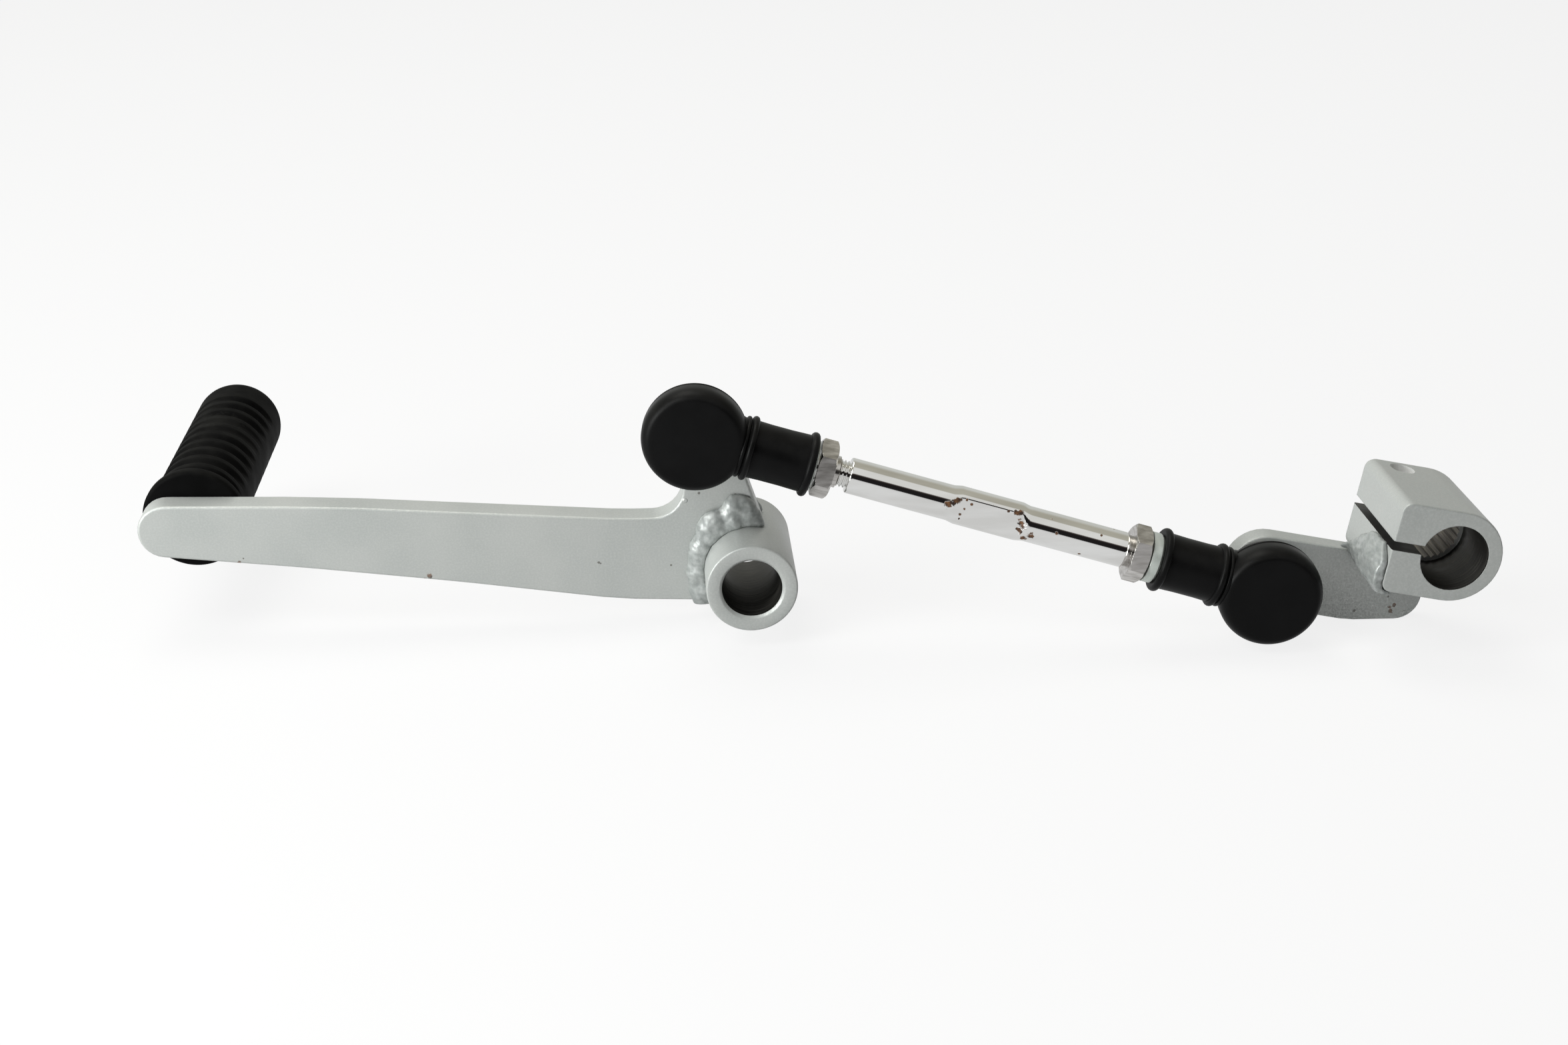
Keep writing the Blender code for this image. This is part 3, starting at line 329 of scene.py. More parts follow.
# Dust: settles on what faces up, in soft patches
dust, given, result = new_group(
    "Dust",
    [("Amount", "Float", 0.2), ("Scale", "Float", 260.0)],
    [("Mask", "Float")],
)
facing = dust.nodes.new("ShaderNodeSeparateXYZ")
dust.links.new(put(dust, "NewGeometry", {}, out=1), facing.inputs[0])
patch = put(dust, "TexNoise", {"Vector": place_coordinates(dust), "Scale": given["Scale"], "Detail": 5.0})
settled = calc(dust, "MULTIPLY", fit(dust, facing.outputs[2], 0.1, 1.0), fit(dust, patch, 0.35, 0.7))
dust.links.new(calc(dust, "MULTIPLY", settled, given["Amount"], clamp=True), result["Mask"])

# Rust tone: two browns, mixed in small clouds
rust_tone, given, result = new_group("Rust tone", [("Scale", "Float", 1100.0)], [("Color", "Color")])
cloud = put(rust_tone, "TexNoise", {"Vector": place_coordinates(rust_tone), "Scale": given["Scale"], "Detail": 5.0})
tone = mix(rust_tone, fit(rust_tone, cloud, 0.38, 0.68), (0.022, 0.009, 0.005), (0.20, 0.090, 0.035))
rust_tone.links.new(tone, result["Color"])
print("shared effects:", sorted(made.name for made in bpy.data.node_groups))

# %% [markdown]
# A helper starts each finish: a Principled shader with its plain numbers set on its own
# sockets. What changes over the surface is linked afterwards.

# %% Start of a finish
def new_look(name, **plain_values):
    """A material with a Principled shader, whose constant values are set by name."""
    made = bpy.data.materials.new(name)
    made.use_nodes = True
    shader = made.node_tree.nodes["Principled BSDF"]
    for label, value in plain_values.items():
        shader.inputs[label.replace("_", " ")].default_value = value
    return made, made.node_tree, shader


def join(tree, value, shader, label):
    """Link a value to a named socket of the shader."""
    tree.links.new(value, shader.inputs[label])


def bumped(tree, height, distance, strength=1.0, edge_radius=0.0):
    """A normal from a height in metres, on edges that are shaded as rounded."""
    values = {"Height": height, "Distance": distance, "Strength": strength}
    if edge_radius:
        values["Normal"] = put(tree, "Bevel", {0: edge_radius}, samples=6)
    return put(tree, "Bump", values)


def add_spots(tree, places, radius, ragged, sizes=(1.0, 0.6, 0.8)):
    """The largest of several spot masks. Places are in millimetres."""
    total = None
    for index, place in enumerate(places):
        size = radius * sizes[index % len(sizes)]
        found = use(tree, spot, Centre=[c * MM for c in place], Radius=size, Ragged=ragged)[0]
        total = found if total is None else calc(tree, "MAXIMUM", total, found)
    return total


# %% [markdown]
# The plates, the tube and the clamp are sprayed with silver paint. It is a pale, slightly
# green grey with a fine metallic grain, a little orange peel, dark chips along a few edges
# and tiny dark pits. The paint is half metallic, so that it keeps its colour in shade.

# %% Silver paint
def silver_paint(name, pits, rust_places, pimples, chips_and_glints):
    """Silver paint with its own dark pits, rust stains, paint pimples, and pale chips and painted glints, in
    millimetres.
    """
    made, tree, shader = new_look(name, Coat_Weight=0.12, Coat_Roughness=0.25)
    clouds = use(tree, grain, Scale=60.0, Detail=3.0)[0]
    flakes = use(tree, grain, Scale=2600.0, Detail=2.0)[0]
    color = mix(tree, fit(tree, clouds, 0.35, 0.65), (0.470, 0.492, 0.476), (0.520, 0.536, 0.518))
    color = mix(tree, fit(tree, flakes, 0.40, 0.72, 0.0, 0.30), color, (0.72, 0.73, 0.71))
    tiny = use(tree, specks, Scale=210.0, Size=0.055, Share=0.10)[0]
    color = mix(tree, calc(tree, "MULTIPLY", tiny, 0.65), color, (0.12, 0.105, 0.085))
    worn = use(tree, edge_wear_and_light, Radius=0.35 * MM, Scale=900.0, Cover=0.12)[0]
    color = mix(tree, calc(tree, "MULTIPLY", worn, 0.55), color, (0.17, 0.15, 0.12))
    pit_mask = add_spots(tree, pits, 0.32 * MM, 0.12 * MM)
    color = mix(tree, calc(tree, "MULTIPLY", pit_mask, 0.75), color, (0.10, 0.09, 0.075))
    stain = add_spots(tree, rust_places, 0.62 * MM, 0.35 * MM)
    color = mix(tree, calc(tree, "MULTIPLY", stain, 0.8), color, use(tree, rust_tone)[0])
    # Pale spots: chips of bare metal, and on the lever a painted highlight at the upper left of its paint pimple.
    chip_and_glint_mask = add_spots(tree, chips_and_glints, 0.30 * MM, 0.12 * MM)
    color = mix(tree, calc(tree, "MULTIPLY", chip_and_glint_mask, 0.8), color, (0.86, 0.86, 0.82))
    join(tree, color, shader, "Base Color")
    join(tree, fit(tree, clouds, 0.3, 0.7, 0.36, 0.50), shader, "Roughness")
    join(tree, fit(tree, flakes, 0.35, 0.75, 0.10, 0.45), shader, "Metallic")
    peel = use(tree, grain, Scale=700.0, Detail=1.0)[0]
    skin = bumped(tree, peel, 0.02 * MM, 0.35, 0.25 * MM)
    raised = add_spots(tree, pimples, 0.50 * MM, 0.0)
    join(tree, put(tree, "Bump", {"Height": raised, "Distance": 0.09 * MM, "Normal": skin}), shader, "Normal")
    return made


lever_pits = [(-9.8, 0.0, 15.6), (-99.5, 0.0, 4.3), (-15.6, 0.0, 0.3), (-2.6, 0.0, 15.1), (-11.1, 0.0, -1.3)]
lever_pits += [(-29.6, 0.0, 1.1), (-29.9, 0.0, 1.3)]
lever_rust = [(-63.5, 0.0, -0.6), (-64.3, 0.2, -1.4), (-100.4, 0.4, 3.5)]
# The lever's pale spot beside its pimple is a painted highlight, not a chip.
lever_paint = silver_paint("silver_paint_lever", lever_pits, lever_rust, [(-12.5, 0.0, 14.1)], [(-12.9, 0.0, 14.4)])
arm_pits = [(121.8, -29.0, 22.0), (120.5, -29.0, 19.6), (120.5, -29.0, 16.1), (119.3, -29.0, 10.3)]
arm_pits += [(125.5, -8.1, -5.6), (128.7, -8.1, -7.5), (122.0, -8.1, -10.5)]
arm_rust = [(129.4, -8.1, -10.6), (130.1, -8.1, -9.5), (129.2, -8.1, -9.9)]
arm_chips = [(119.9, -29.0, 11.8), (119.4, -29.0, 9.3), (126.6, -29.0, 22.9)]
arm_paint = silver_paint("silver_paint_arm", arm_pits, arm_rust, [(132.4, -8.1, -11.2)], arm_chips)

# %% [markdown]
# The welds were painted over. The paint ran together on the lumps of the bead, so it is
# glossier there than on the plates, and its small crests catch the light.

# %% Weld finish
weld_look, tree, shader = new_look("weld_metal", Coat_Weight=0.15, Coat_Roughness=0.15)
ripple = use(tree, grain, Scale=800.0, Stretch=(1.0, 0.5, 1.0), Detail=3.0)[0]
color = mix(tree, fit(tree, ripple, 0.35, 0.65), (0.28, 0.300, 0.291), (0.47, 0.492, 0.48))
join(tree, color, shader, "Base Color")
join(tree, fit(tree, ripple, 0.3, 0.7, 0.50, 0.34), shader, "Roughness")
join(tree, fit(tree, ripple, 0.3, 0.7, 0.05, 0.35), shader, "Metallic")
join(tree, bumped(tree, ripple, 0.10 * MM, 0.6), shader, "Normal")

# %% [markdown]
# The inside of the tube and the clamp has no paint. It is bare steel with fine turning marks
# that run round the bore, and its colour is darkened to paint the shade deep inside the bore.
# The spline is cut along the bore and a little brighter, darkened the same way. The pinch hole
# was drilled after the paint, so it is clean, and its colour is raised to near white as painted
# light, because the hole lies in shade.

# %% Bare bores
def bare_steel(name, metallic, stretch, dark, bright):
    """Unpainted steel with tool marks."""
    made, tree, shader = new_look(name, Metallic=metallic)
    marks = use(tree, grain, Scale=420.0, Stretch=stretch, Detail=4.0)[0]
    join(tree, mix(tree, fit(tree, marks, 0.4, 0.7), dark, bright), shader, "Base Color")
    join(tree, fit(tree, marks, 0.3, 0.7, 0.30, 0.55), shader, "Roughness")
    join(tree, bumped(tree, marks, 0.02 * MM, 0.5), shader, "Normal")
    return made


# Bore and spline colours are darkened far below bare steel: painted shade inside the bores.
shaded_bore_look = bare_steel("bore_steel_painted_shade", 0.85, (0.3, 6.0, 0.3), (0.030, 0.029, 0.027), (0.115, 0.110, 0.100))
shaded_spline_look = bare_steel("spline_steel_painted_shade", 0.9, (4.0, 0.2, 4.0), (0.070, 0.062, 0.055), (0.26, 0.24, 0.21))
# The drilled hole is lightened to near white and not metallic: clean steel, with painted light where the hole lies in
# shade.
hole_look_painted_light = bare_steel("drilled_steel_painted_light", 0.0, (1.0, 1.0, 5.0), (0.86, 0.86, 0.84), (0.96, 0.96, 0.94))

# %% [markdown]
# Both rubbers are nearly black. The boots are smooth and a little waxy, with pinpoint dust.
# The toe rubber is drier. The edges of its ribs and the rim of its flange are lightened to a dark grey, partly where
# the foot has polished them and partly as a painted highlight.

# %% Rubber
def rubber(name, tone, roughness, grit, shine):
    """Black rubber with a soft mottle, dust on top and a few pale specks."""
    made, tree, shader = new_look(name, Specular_IOR_Level=shine)
    mottle = use(tree, grain, Scale=170.0, Detail=4.0)[0]
    color = mix(tree, fit(tree, mottle, 0.35, 0.65), tone, [1.5 * c for c in tone])
    settled = use(tree, dust, Amount=0.02, Scale=330.0)[0]
    color = mix(tree, settled, color, (0.30, 0.29, 0.26))
    flecks = use(tree, specks, Scale=260.0, Size=0.035, Share=0.10)[0]
    color = mix(tree, calc(tree, "MULTIPLY", flecks, 0.16), color, (0.40, 0.40, 0.38))
    join(tree, fit(tree, mottle, 0.3, 0.7, roughness - 0.06, roughness + 0.08), shader, "Roughness")
    skin = use(tree, grain, Scale=2400.0, Detail=2.0)[0]
    join(tree, bumped(tree, skin, grit, 0.5), shader, "Normal")
    return made, tree, shader, color


boot_rubber, tree, shader, color = rubber("boot_rubber", (0.0034, 0.0034, 0.0035), 0.40, 0.006 * MM, 0.09)
speck = add_spots(tree, [(-12.6, -14.6, 34.8)], 0.16 * MM, 0.0)
color = mix(tree, calc(tree, "MULTIPLY", speck, 0.6), color, (0.60, 0.60, 0.58))
join(tree, color, shader, "Base Color")
peg_look, tree, shader, color = rubber("toe_rubber", (0.0030, 0.0030, 0.0030), 0.58, 0.012 * MM, 0.025)
# Lightened rib and flange edges: partly polish, partly a painted highlight.
ribs = use(tree, edge_wear_and_light, Radius=0.5 * MM, Scale=420.0, Cover=0.60)[0]
color = mix(tree, calc(tree, "MULTIPLY", ribs, 0.45), color, (0.028, 0.027, 0.026))
scuff = add_spots(tree, [(-108.6, 40.0, 19.1)], 4.6 * MM, 2.2 * MM)
color = mix(tree, calc(tree, "MULTIPLY", scuff, 0.55), color, (0.013, 0.013, 0.012))
dimple = add_spots(tree, [(-108.0, 42.5, 19.1)], 1.8 * MM, 0.6 * MM)
color = mix(tree, calc(tree, "MULTIPLY", dimple, 0.7), color, (0.004, 0.004, 0.004))
join(tree, color, shader, "Base Color")

# %% [markdown]
# The lock nuts, pins and studs are zinc plated steel. On the nuts the brush marks run along
# the rod, and their corners are polished.

# %% Zinc plated steel
zinc_look, tree, shader = new_look("zinc_steel", Metallic=1.0)
lines = use(tree, grain, Scale=700.0, Stretch=(0.28, 1.0, 1.6), Detail=6.0)[0]
clouds = use(tree, grain, Scale=220.0, Detail=2.0)[0]
color = mix(tree, fit(tree, lines, 0.35, 0.65), (0.36, 0.345, 0.325), (0.66, 0.64, 0.62))
tarnish = use(tree, specks, Scale=420.0, Size=0.10, Share=0.10)[0]
color = mix(tree, calc(tree, "MULTIPLY", tarnish, 0.6), color, (0.13, 0.09, 0.06))
join(tree, color, shader, "Base Color")
rough = calc(tree, "ADD", fit(tree, lines, 0.3, 0.7, 0.12, 0.24), fit(tree, clouds, 0.3, 0.7, -0.03, 0.05))
join(tree, rough, shader, "Roughness")
join(tree, bumped(tree, lines, 0.008 * MM, 0.6, 0.08 * MM), shader, "Normal")

# %% [markdown]
# The rod is chromed. Rust has broken through in the places that the photograph shows, near
# the middle of its top, and there the plating is brown and dull.

# %% Chrome with rust
joints = {joint["name"]: joint for joint in frame["joints"]}
ball_left = Vector(joints["left_swivel"]["pos_m"])
ball_right = Vector(joints["right_swivel"]["pos_m"])
rod_along = (ball_right - ball_left).normalized()
rod_up = Vector(joints["left_tilt"]["axis"]).normalized()
rod_back = rod_up.cross(rod_along)
rod_frame = Matrix.Translation(ball_left) @ Matrix((rod_along, rod_back, rod_up)).transposed().to_4x4()
print("rod length in mm:", round((ball_right - ball_left).length / MM, 2))


def on_rod(along, degrees):
    """A place on the rod's surface, in millimetres, from its length and its angle from the top to the front."""
    turned = math.radians(degrees)
    spot_here = Vector((along, -3.5 * math.sin(turned), 3.5 * math.cos(turned))) * MM
    return tuple(rod_frame @ spot_here / MM)


def on_flat(along, height):
    """A place on the rod's front flat, in millimetres, from its length and its height over the middle."""
    return tuple(rod_frame @ (Vector((along, -2.6, height)) * MM) / MM)


chrome_look, tree, shader = new_look("chrome", Metallic=1.0)
haze = use(tree, grain, Scale=380.0, Stretch=(0.15, 1.0, 1.0), Detail=5.0)[0]
color = mix(tree, fit(tree, haze, 0.35, 0.65), (0.76, 0.755, 0.74), (0.86, 0.86, 0.85))
patches = [(50.3, 78), (51.3, 70), (51.9, 58), (63.5, 46), (64.3, 44), (64.7, 73), (65.6, 83), (66.5, 129), (67.4, 108)]
flat_patches = [(65.2, -0.7), (65.6, 0.1), (65.3, 0.7)]
patch_places = [on_rod(*place) for place in patches] + [on_flat(*place) for place in flat_patches]
large_rust = add_spots(tree, patch_places, 0.75 * MM, 0.50 * MM, (1.0, 0.85))
dots = [(53.6, 48), (59.0, 41), (62.0, 48), (78.0, 130), (70.7, 34), (80.9, 44), (72.2, 76), (83.5, -3), (69.5, -19)]
flat_dots = [(53.2, -0.9), (53.3, -1.8), (53.7, 0.4), (54.8, 1.7), (58.9, 2.8), (62.0, 2.4), (65.0, -0.8), (64.9, 0.7)]
dot_places = [on_rod(*place) for place in dots] + [on_flat(*place) for place in flat_dots]
small_rust = add_spots(tree, dot_places, 0.32 * MM, 0.12 * MM)
pin_rust = use(tree, specks, Scale=330.0, Size=0.05, Share=0.05)[0]
rusty = calc(tree, "MAXIMUM", large_rust, calc(tree, "MAXIMUM", small_rust, calc(tree, "MULTIPLY", pin_rust, 0.6)))
color = mix(tree, rusty, color, use(tree, rust_tone)[0])
join(tree, color, shader, "Base Color")
join(tree, calc(tree, "SUBTRACT", 1.0, rusty, clamp=True), shader, "Metallic")
shine = calc(tree, "ADD", fit(tree, haze, 0.3, 0.7, 0.035, 0.075), calc(tree, "MULTIPLY", rusty, 0.6))
join(tree, shine, shader, "Roughness")
join(tree, bumped(tree, rusty, 0.05 * MM, 0.6), shader, "Normal")

# %% [markdown]
# The sockets are pale zinc with a greenish tint, which shows as a ring between the boot and
# the nut, and the seats and seal rings are off-white nylon.

# %% Pale socket and nylon
socket_look, tree, shader = new_look("pale_steel", Metallic=0.35)
lines = use(tree, grain, Scale=500.0, Stretch=(2.0, 0.4, 0.4), Detail=4.0)[0]
color = mix(tree, fit(tree, lines, 0.35, 0.65), (0.56, 0.61, 0.57), (0.70, 0.74, 0.70))
# The socket's edges are darkened, partly grime and partly painted shade where the collar sits between the boot and the
# nut.
grime_and_shade = use(tree, edge_wear_and_light, Radius=0.4 * MM, Scale=500.0, Cover=0.3)[0]
join(tree, mix(tree, calc(tree, "MULTIPLY", grime_and_shade, 0.5), color, (0.20, 0.19, 0.16)), shader, "Base Color")
join(tree, fit(tree, lines, 0.3, 0.7, 0.32, 0.46), shader, "Roughness")
join(tree, bumped(tree, lines, 0.02 * MM, 0.4, 0.15 * MM), shader, "Normal")
nylon_look, tree, shader = new_look("white_nylon")
clouds = use(tree, grain, Scale=320.0, Detail=4.0)[0]
color = mix(tree, fit(tree, clouds, 0.35, 0.65), (0.66, 0.65, 0.59), (0.76, 0.75, 0.70))
settled = use(tree, dust, Amount=0.4, Scale=500.0)[0]
join(tree, mix(tree, settled, color, (0.25, 0.22, 0.18)), shader, "Base Color")
join(tree, fit(tree, clouds, 0.3, 0.7, 0.40, 0.55), shader, "Roughness")
join(tree, bumped(tree, clouds, 0.02 * MM, 0.3, 0.15 * MM), shader, "Normal")

# %% [markdown]
# Round pieces are turned, as on a lathe. One vertex is extruded point by point into half of
# the section, and Spin carries that line round the axis. This gives every groove and corner
# at its measured place, and enough sides to look round.

# %% Lathe
def clear_selection():
    """Leave edit mode and select nothing."""
    if bpy.context.object and bpy.context.object.mode != "OBJECT":
        bpy.ops.object.mode_set(mode="OBJECT")
    bpy.ops.object.select_all(action="DESELECT")


def pick(piece):
    """Make a piece the only selected and the active one."""
    clear_selection()
    piece.select_set(True)
    bpy.context.view_layer.objects.active = piece


def clean(piece, merge=0.002 * MM):
    """Merge doubles and point all faces outwards."""
    pick(piece)
    bpy.ops.object.mode_set(mode="EDIT")
    bpy.ops.mesh.select_all(action="SELECT")
    bpy.ops.mesh.remove_doubles(threshold=merge)
    bpy.ops.mesh.normals_make_consistent(inside=False)
    bpy.ops.object.mode_set(mode="OBJECT")


def turned(name, profile, steps=96, along="Y", closed=False):
    """Spin a profile of (radius, distance) in millimetres about the Y or the X axis."""
    clear_selection()
    bpy.ops.mesh.primitive_plane_add(size=MM)
    piece = bpy.context.object
    piece.name = name
    piece.data.name = name
    bpy.ops.object.mode_set(mode="EDIT")
    bpy.ops.mesh.select_all(action="SELECT")
    bpy.ops.mesh.merge(type="CENTER")
    points = [Vector((r, d, 0.0) if along == "Y" else (d, r, 0.0)) * MM for r, d in profile]
    if closed:
        points.append(points[0])
    bpy.ops.transform.translate(value=points[0])
    for before, after in zip(points, points[1:]):
        bpy.ops.mesh.extrude_vertices_move(TRANSFORM_OT_translate={"value": after - before})
    bpy.ops.mesh.select_all(action="SELECT")
    axis = (0, 1, 0) if along == "Y" else (1, 0, 0)
    bpy.ops.mesh.spin(steps=steps, angle=2 * math.pi, center=(0, 0, 0), axis=axis)
    clean(piece)
    return piece


def corner(x, y, radius, start, end, count=4):
    """Points on a rounded corner of a profile, in degrees."""
    turns = [math.radians(start + (end - start) * i / count) for i in range(count + 1)]
    return [(x + radius * math.cos(t), y + radius * math.sin(t)) for t in turns]


# %% [markdown]
# Some shapes are cut or joined, and then finished: placed in the row frame, shaded smooth up
# to an angle, given a finish, and tied to the body and the solid that they stand for.

# %% Cut, join and finish
def carve(piece, tool, operation="DIFFERENCE"):
    """Cut, join or trim a piece with a tool, and remove the tool."""
    pick(piece)
    step = piece.modifiers.new(operation, "BOOLEAN")
    step.operation = operation
    step.solver = "EXACT"
    step.object = tool
    bpy.ops.object.modifier_apply(modifier=step.name)
    bpy.data.objects.remove(tool, do_unlink=True)


def settle(piece, matrix):
    """Move a piece to its place and apply the move to its mesh."""
    pick(piece)
    piece.matrix_world = matrix
    bpy.ops.object.transform_apply(location=True, rotation=True, scale=True)


def finish_piece(piece, body, nodes, looks, angle=40.0):
    """Shade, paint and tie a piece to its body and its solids."""
    pick(piece)
    bpy.ops.object.shade_smooth_by_angle(angle=math.radians(angle))
    piece.data.materials.clear()
    for look in looks:
        piece.data.materials.append(look)
    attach(piece, body)
    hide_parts(*nodes)
    print(piece.name, "has", len(piece.data.polygons), "faces")


def copy_node(node, name):
    """A merged copy of a solid, with its flat triangles joined."""
    source = frame["nodes"][node]
    piece = source.copy()
    piece.data = source.data.copy()
    piece.name = name
    piece.data.name = name
    piece.parent = None
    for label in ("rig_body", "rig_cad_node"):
        del piece[label]
    bpy.context.scene.collection.objects.link(piece)
    pick(piece)
    bpy.ops.mesh.customdata_custom_splitnormals_clear()
    bpy.ops.object.mode_set(mode="EDIT")
    bpy.ops.mesh.select_all(action="SELECT")
    bpy.ops.mesh.remove_doubles(threshold=0.002 * MM)
    bpy.ops.mesh.dissolve_limited(angle_limit=math.radians(0.3))
    bpy.ops.object.mode_set(mode="OBJECT")
    return piece


def weighted(piece):
    """Keep large flat faces flat in the shading beside their rounded edges."""
    pick(piece)
    step = piece.modifiers.new("Weighted normals", "WEIGHTED_NORMAL")
    step.keep_sharp = True
    bpy.ops.object.modifier_apply(modifier=step.name)


def paint_bore(piece, centre_x, centre_z, reach, index=1):
    """Give the faces inside a bore, within reach of its axis, the second finish."""
    count = 0
    for face in piece.data.polygons:
        out = Vector((face.center.x - centre_x, 0.0, face.center.z - centre_z))
        if out.length < reach and face.normal.dot(out) < -0.3 * out.length:
            face.material_index = index
            count += 1
    print(piece.name, "has", count, "bore faces")


# %% [markdown]
# ## The lever
# The lever plate is cut from 6 mm steel with softly rounded edges. Its outline is already
# right in the solid, so a copy is joined into large faces and shaded.

# %% Lever plate
plate = copy_node("lever_plate", "lever_plate_painted")
finish_piece(plate, "lever", ["lever_plate"], [lever_paint], 50.0)
weighted(plate)

# %% [markdown]
# The pivot tube is turned, so it is made on the lathe with small rounded corners outside and
# a wider chamfer at the bore.

# %% Pivot tube
TUBE_FRONT, TUBE_REAR, TUBE_RADIUS, TUBE_BORE = -12.2, 14.4, 9.0, 5.8
profile = [(TUBE_BORE, TUBE_FRONT + 0.8), (TUBE_BORE + 0.12, TUBE_FRONT + 0.55), (TUBE_BORE + 0.6, TUBE_FRONT + 0.06)]
profile += [(TUBE_BORE + 0.75, TUBE_FRONT)]
profile += corner(TUBE_RADIUS - 0.4, TUBE_FRONT + 0.4, 0.4, -90.0, 0.0)
profile += corner(TUBE_RADIUS - 0.4, TUBE_REAR - 0.4, 0.4, 0.0, 90.0)
profile += [(TUBE_BORE + 0.03, TUBE_REAR), (TUBE_BORE, TUBE_REAR - 0.03)]
tube = turned("pivot_tube_painted", profile, steps=128, closed=True)
finish_piece(tube, "lever", ["pivot_tube"], [lever_paint, shaded_bore_look], 30.0)
# The tube's bore faces get the darkened steel, a painted shade.
paint_bore(tube, 0.0, 0.0, 5.95 * MM)

# %% [markdown]
# A weld bead is laid by hand, so it is never even. A copy of the solid is subdivided and
# pushed in and out by a cloud texture, which gives it ripples that also change the outline.

# %% Welds
ripples = bpy.data.textures.new("weld_ripples", "CLOUDS")
ripples.noise_scale = 1.9 * MM
ripples.noise_depth = 1


def weld(node, name, body, height, swell):
    """A bead from its solid, with finer faces, swollen a little and rippled."""
    piece = copy_node(node, name)
    pick(piece)
    smooth = piece.modifiers.new("Remesh", "REMESH")
    smooth.mode = "VOXEL"
    smooth.voxel_size = 0.16 * MM
    bpy.ops.object.modifier_apply(modifier=smooth.name)
    even = piece.modifiers.new("Smooth", "SMOOTH")
    even.factor = 0.5
    even.iterations = 12
    bpy.ops.object.modifier_apply(modifier=even.name)
    push = piece.modifiers.new("Ripples", "DISPLACE")
    push.texture = ripples
    push.strength = height
    push.mid_level = 0.5 - swell / height
    bpy.ops.object.modifier_apply(modifier=push.name)
    finish_piece(piece, body, [node], [weld_look], 60.0)


weld("tube_weld_front", "tube_weld_front_bead", "lever", 0.36 * MM, 0.34 * MM)
weld("tube_weld_rear", "tube_weld_rear_bead", "lever", 0.36 * MM, 0.34 * MM)
weld("clamp_weld", "clamp_weld_bead", "arm", 0.55 * MM, 0.30 * MM)

# %% [markdown]
# The toe rubber is pushed over a steel pin. It has a flange against the plate, ten grooves
# that fade out at the sides, where the mould parted, and a rounded end. It is turned as a
# smooth bar with close rings, and the grooves are then pressed in on the top and bottom.

# %% Toe rubber
PEG_START, PEG_LENGTH, PEG_RADIUS, FLANGE_RADIUS = 6.423, 59.0, 9.07, 10.1
PEG_END = PEG_START + PEG_LENGTH
profile = [(0.0, PEG_START)]
profile += corner(FLANGE_RADIUS - 0.8, PEG_START + 0.8, 0.8, -90.0, 0.0)
profile += corner(FLANGE_RADIUS - 0.7, PEG_START + 2.0, 0.7, 0.0, 80.0)
rings = 190
for i in range(rings + 1):
    profile.append((PEG_RADIUS, PEG_START + 2.9 + (PEG_LENGTH - 2.9 - 4.8) * i / rings))
profile += corner(PEG_RADIUS - 4.8, PEG_END - 4.8, 4.8, 4.0, 84.0, 10)
profile += [(0.0, PEG_END)]
peg = turned("toe_rubber_ribbed", profile, steps=112)
for vertex in peg.data.vertices:
    radius = math.hypot(vertex.co.x, vertex.co.z)
    step = (vertex.co.y / MM - PEG_START - 4.6) / 4.6
    number = round(step)
    if radius < 0.99 * PEG_RADIUS * MM or radius > 1.01 * PEG_RADIUS * MM or not 0 <= number < 10:
        continue
    side = min(1.0, max(0.0, (abs(vertex.co.z) / radius - 0.30) / 0.35))
    across = min(1.0, max(0.0, (0.34 - abs(step - number)) / 0.20))
    left = min(1.0, max(0.0, (2.0 - vertex.co.x / MM) / 5.0)) if vertex.co.z > 0 else 0.0
    worn = max(0.6 if number in (5, 6) and vertex.co.z > 0 else 0.0, left * min(0.75, 0.15 + 0.1 * number))
    depth = 0.95 * MM * (3 - 2 * across) * across * across * side * (1.0 - worn)
    vertex.co.x *= 1.0 - depth / radius
    vertex.co.z *= 1.0 - depth / radius
bore = turned("peg_bore", [(0.0, -1.0), (4.8, -1.0), (4.8, PEG_END - 3.2), (0.0, PEG_END - 3.2)], steps=48)
carve(peg, bore)
peg_place = Matrix.Translation(Vector((-109.7, 0.0, 10.2)) * MM) @ Matrix.Rotation(math.radians(-0.7), 4, "Z")
settle(peg, peg_place)
finish_piece(peg, "lever", ["peg_rubber"], [peg_look], 60.0)

# %% [markdown]
# ## The ball joints
# Each joint has a ball stud, riveted into its plate. Only the rivet head behind the plate and
# a sliver of its collar can be seen, but the whole pin is turned, with a domed head.

# %% Ball studs
BALL_TO_PLATE = 8.5
arm_frame = Matrix.Translation(ball_right) @ Matrix.Rotation(math.radians(11.56), 4, "Y")


def stud(name, node, body, thickness, place):
    """Ball, neck, collar, spigot and riveted head."""
    neck = math.degrees(math.asin(2.3 / 4.0))
    half = [(4.0 * math.sin(math.radians(t)), -4.0 * math.cos(math.radians(t))) for t in range(0, 181, 8) if t < 180 - neck]
    collar = BALL_TO_PLATE - 0.3
    head = BALL_TO_PLATE + thickness + 0.3
    half += [(2.3, 3.4), (2.3, collar - 1.6), (2.6, collar - 1.3), (3.85, collar - 1.3), (4.0, collar - 1.15)]
    half += [(4.0, collar), (2.5, collar), (2.5, head), (3.7, head), (3.8, head + 0.12), (3.8, head + 0.4)]
    half += [(3.55, head + 0.85), (3.0, head + 1.25), (2.2, head + 1.5), (1.0, head + 1.6), (0.0, head + 1.6)]
    piece = turned(name, half, steps=64)
    settle(piece, place)
    finish_piece(piece, body, [node], [zinc_look], 45.0)


left_frame = Matrix.Translation(ball_left)
stud("ball_stud_left_pin", "ball_stud_left", "lever", 6.0, left_frame)
stud("ball_stud_right_pin", "ball_stud_right", "arm", 4.5, arm_frame)

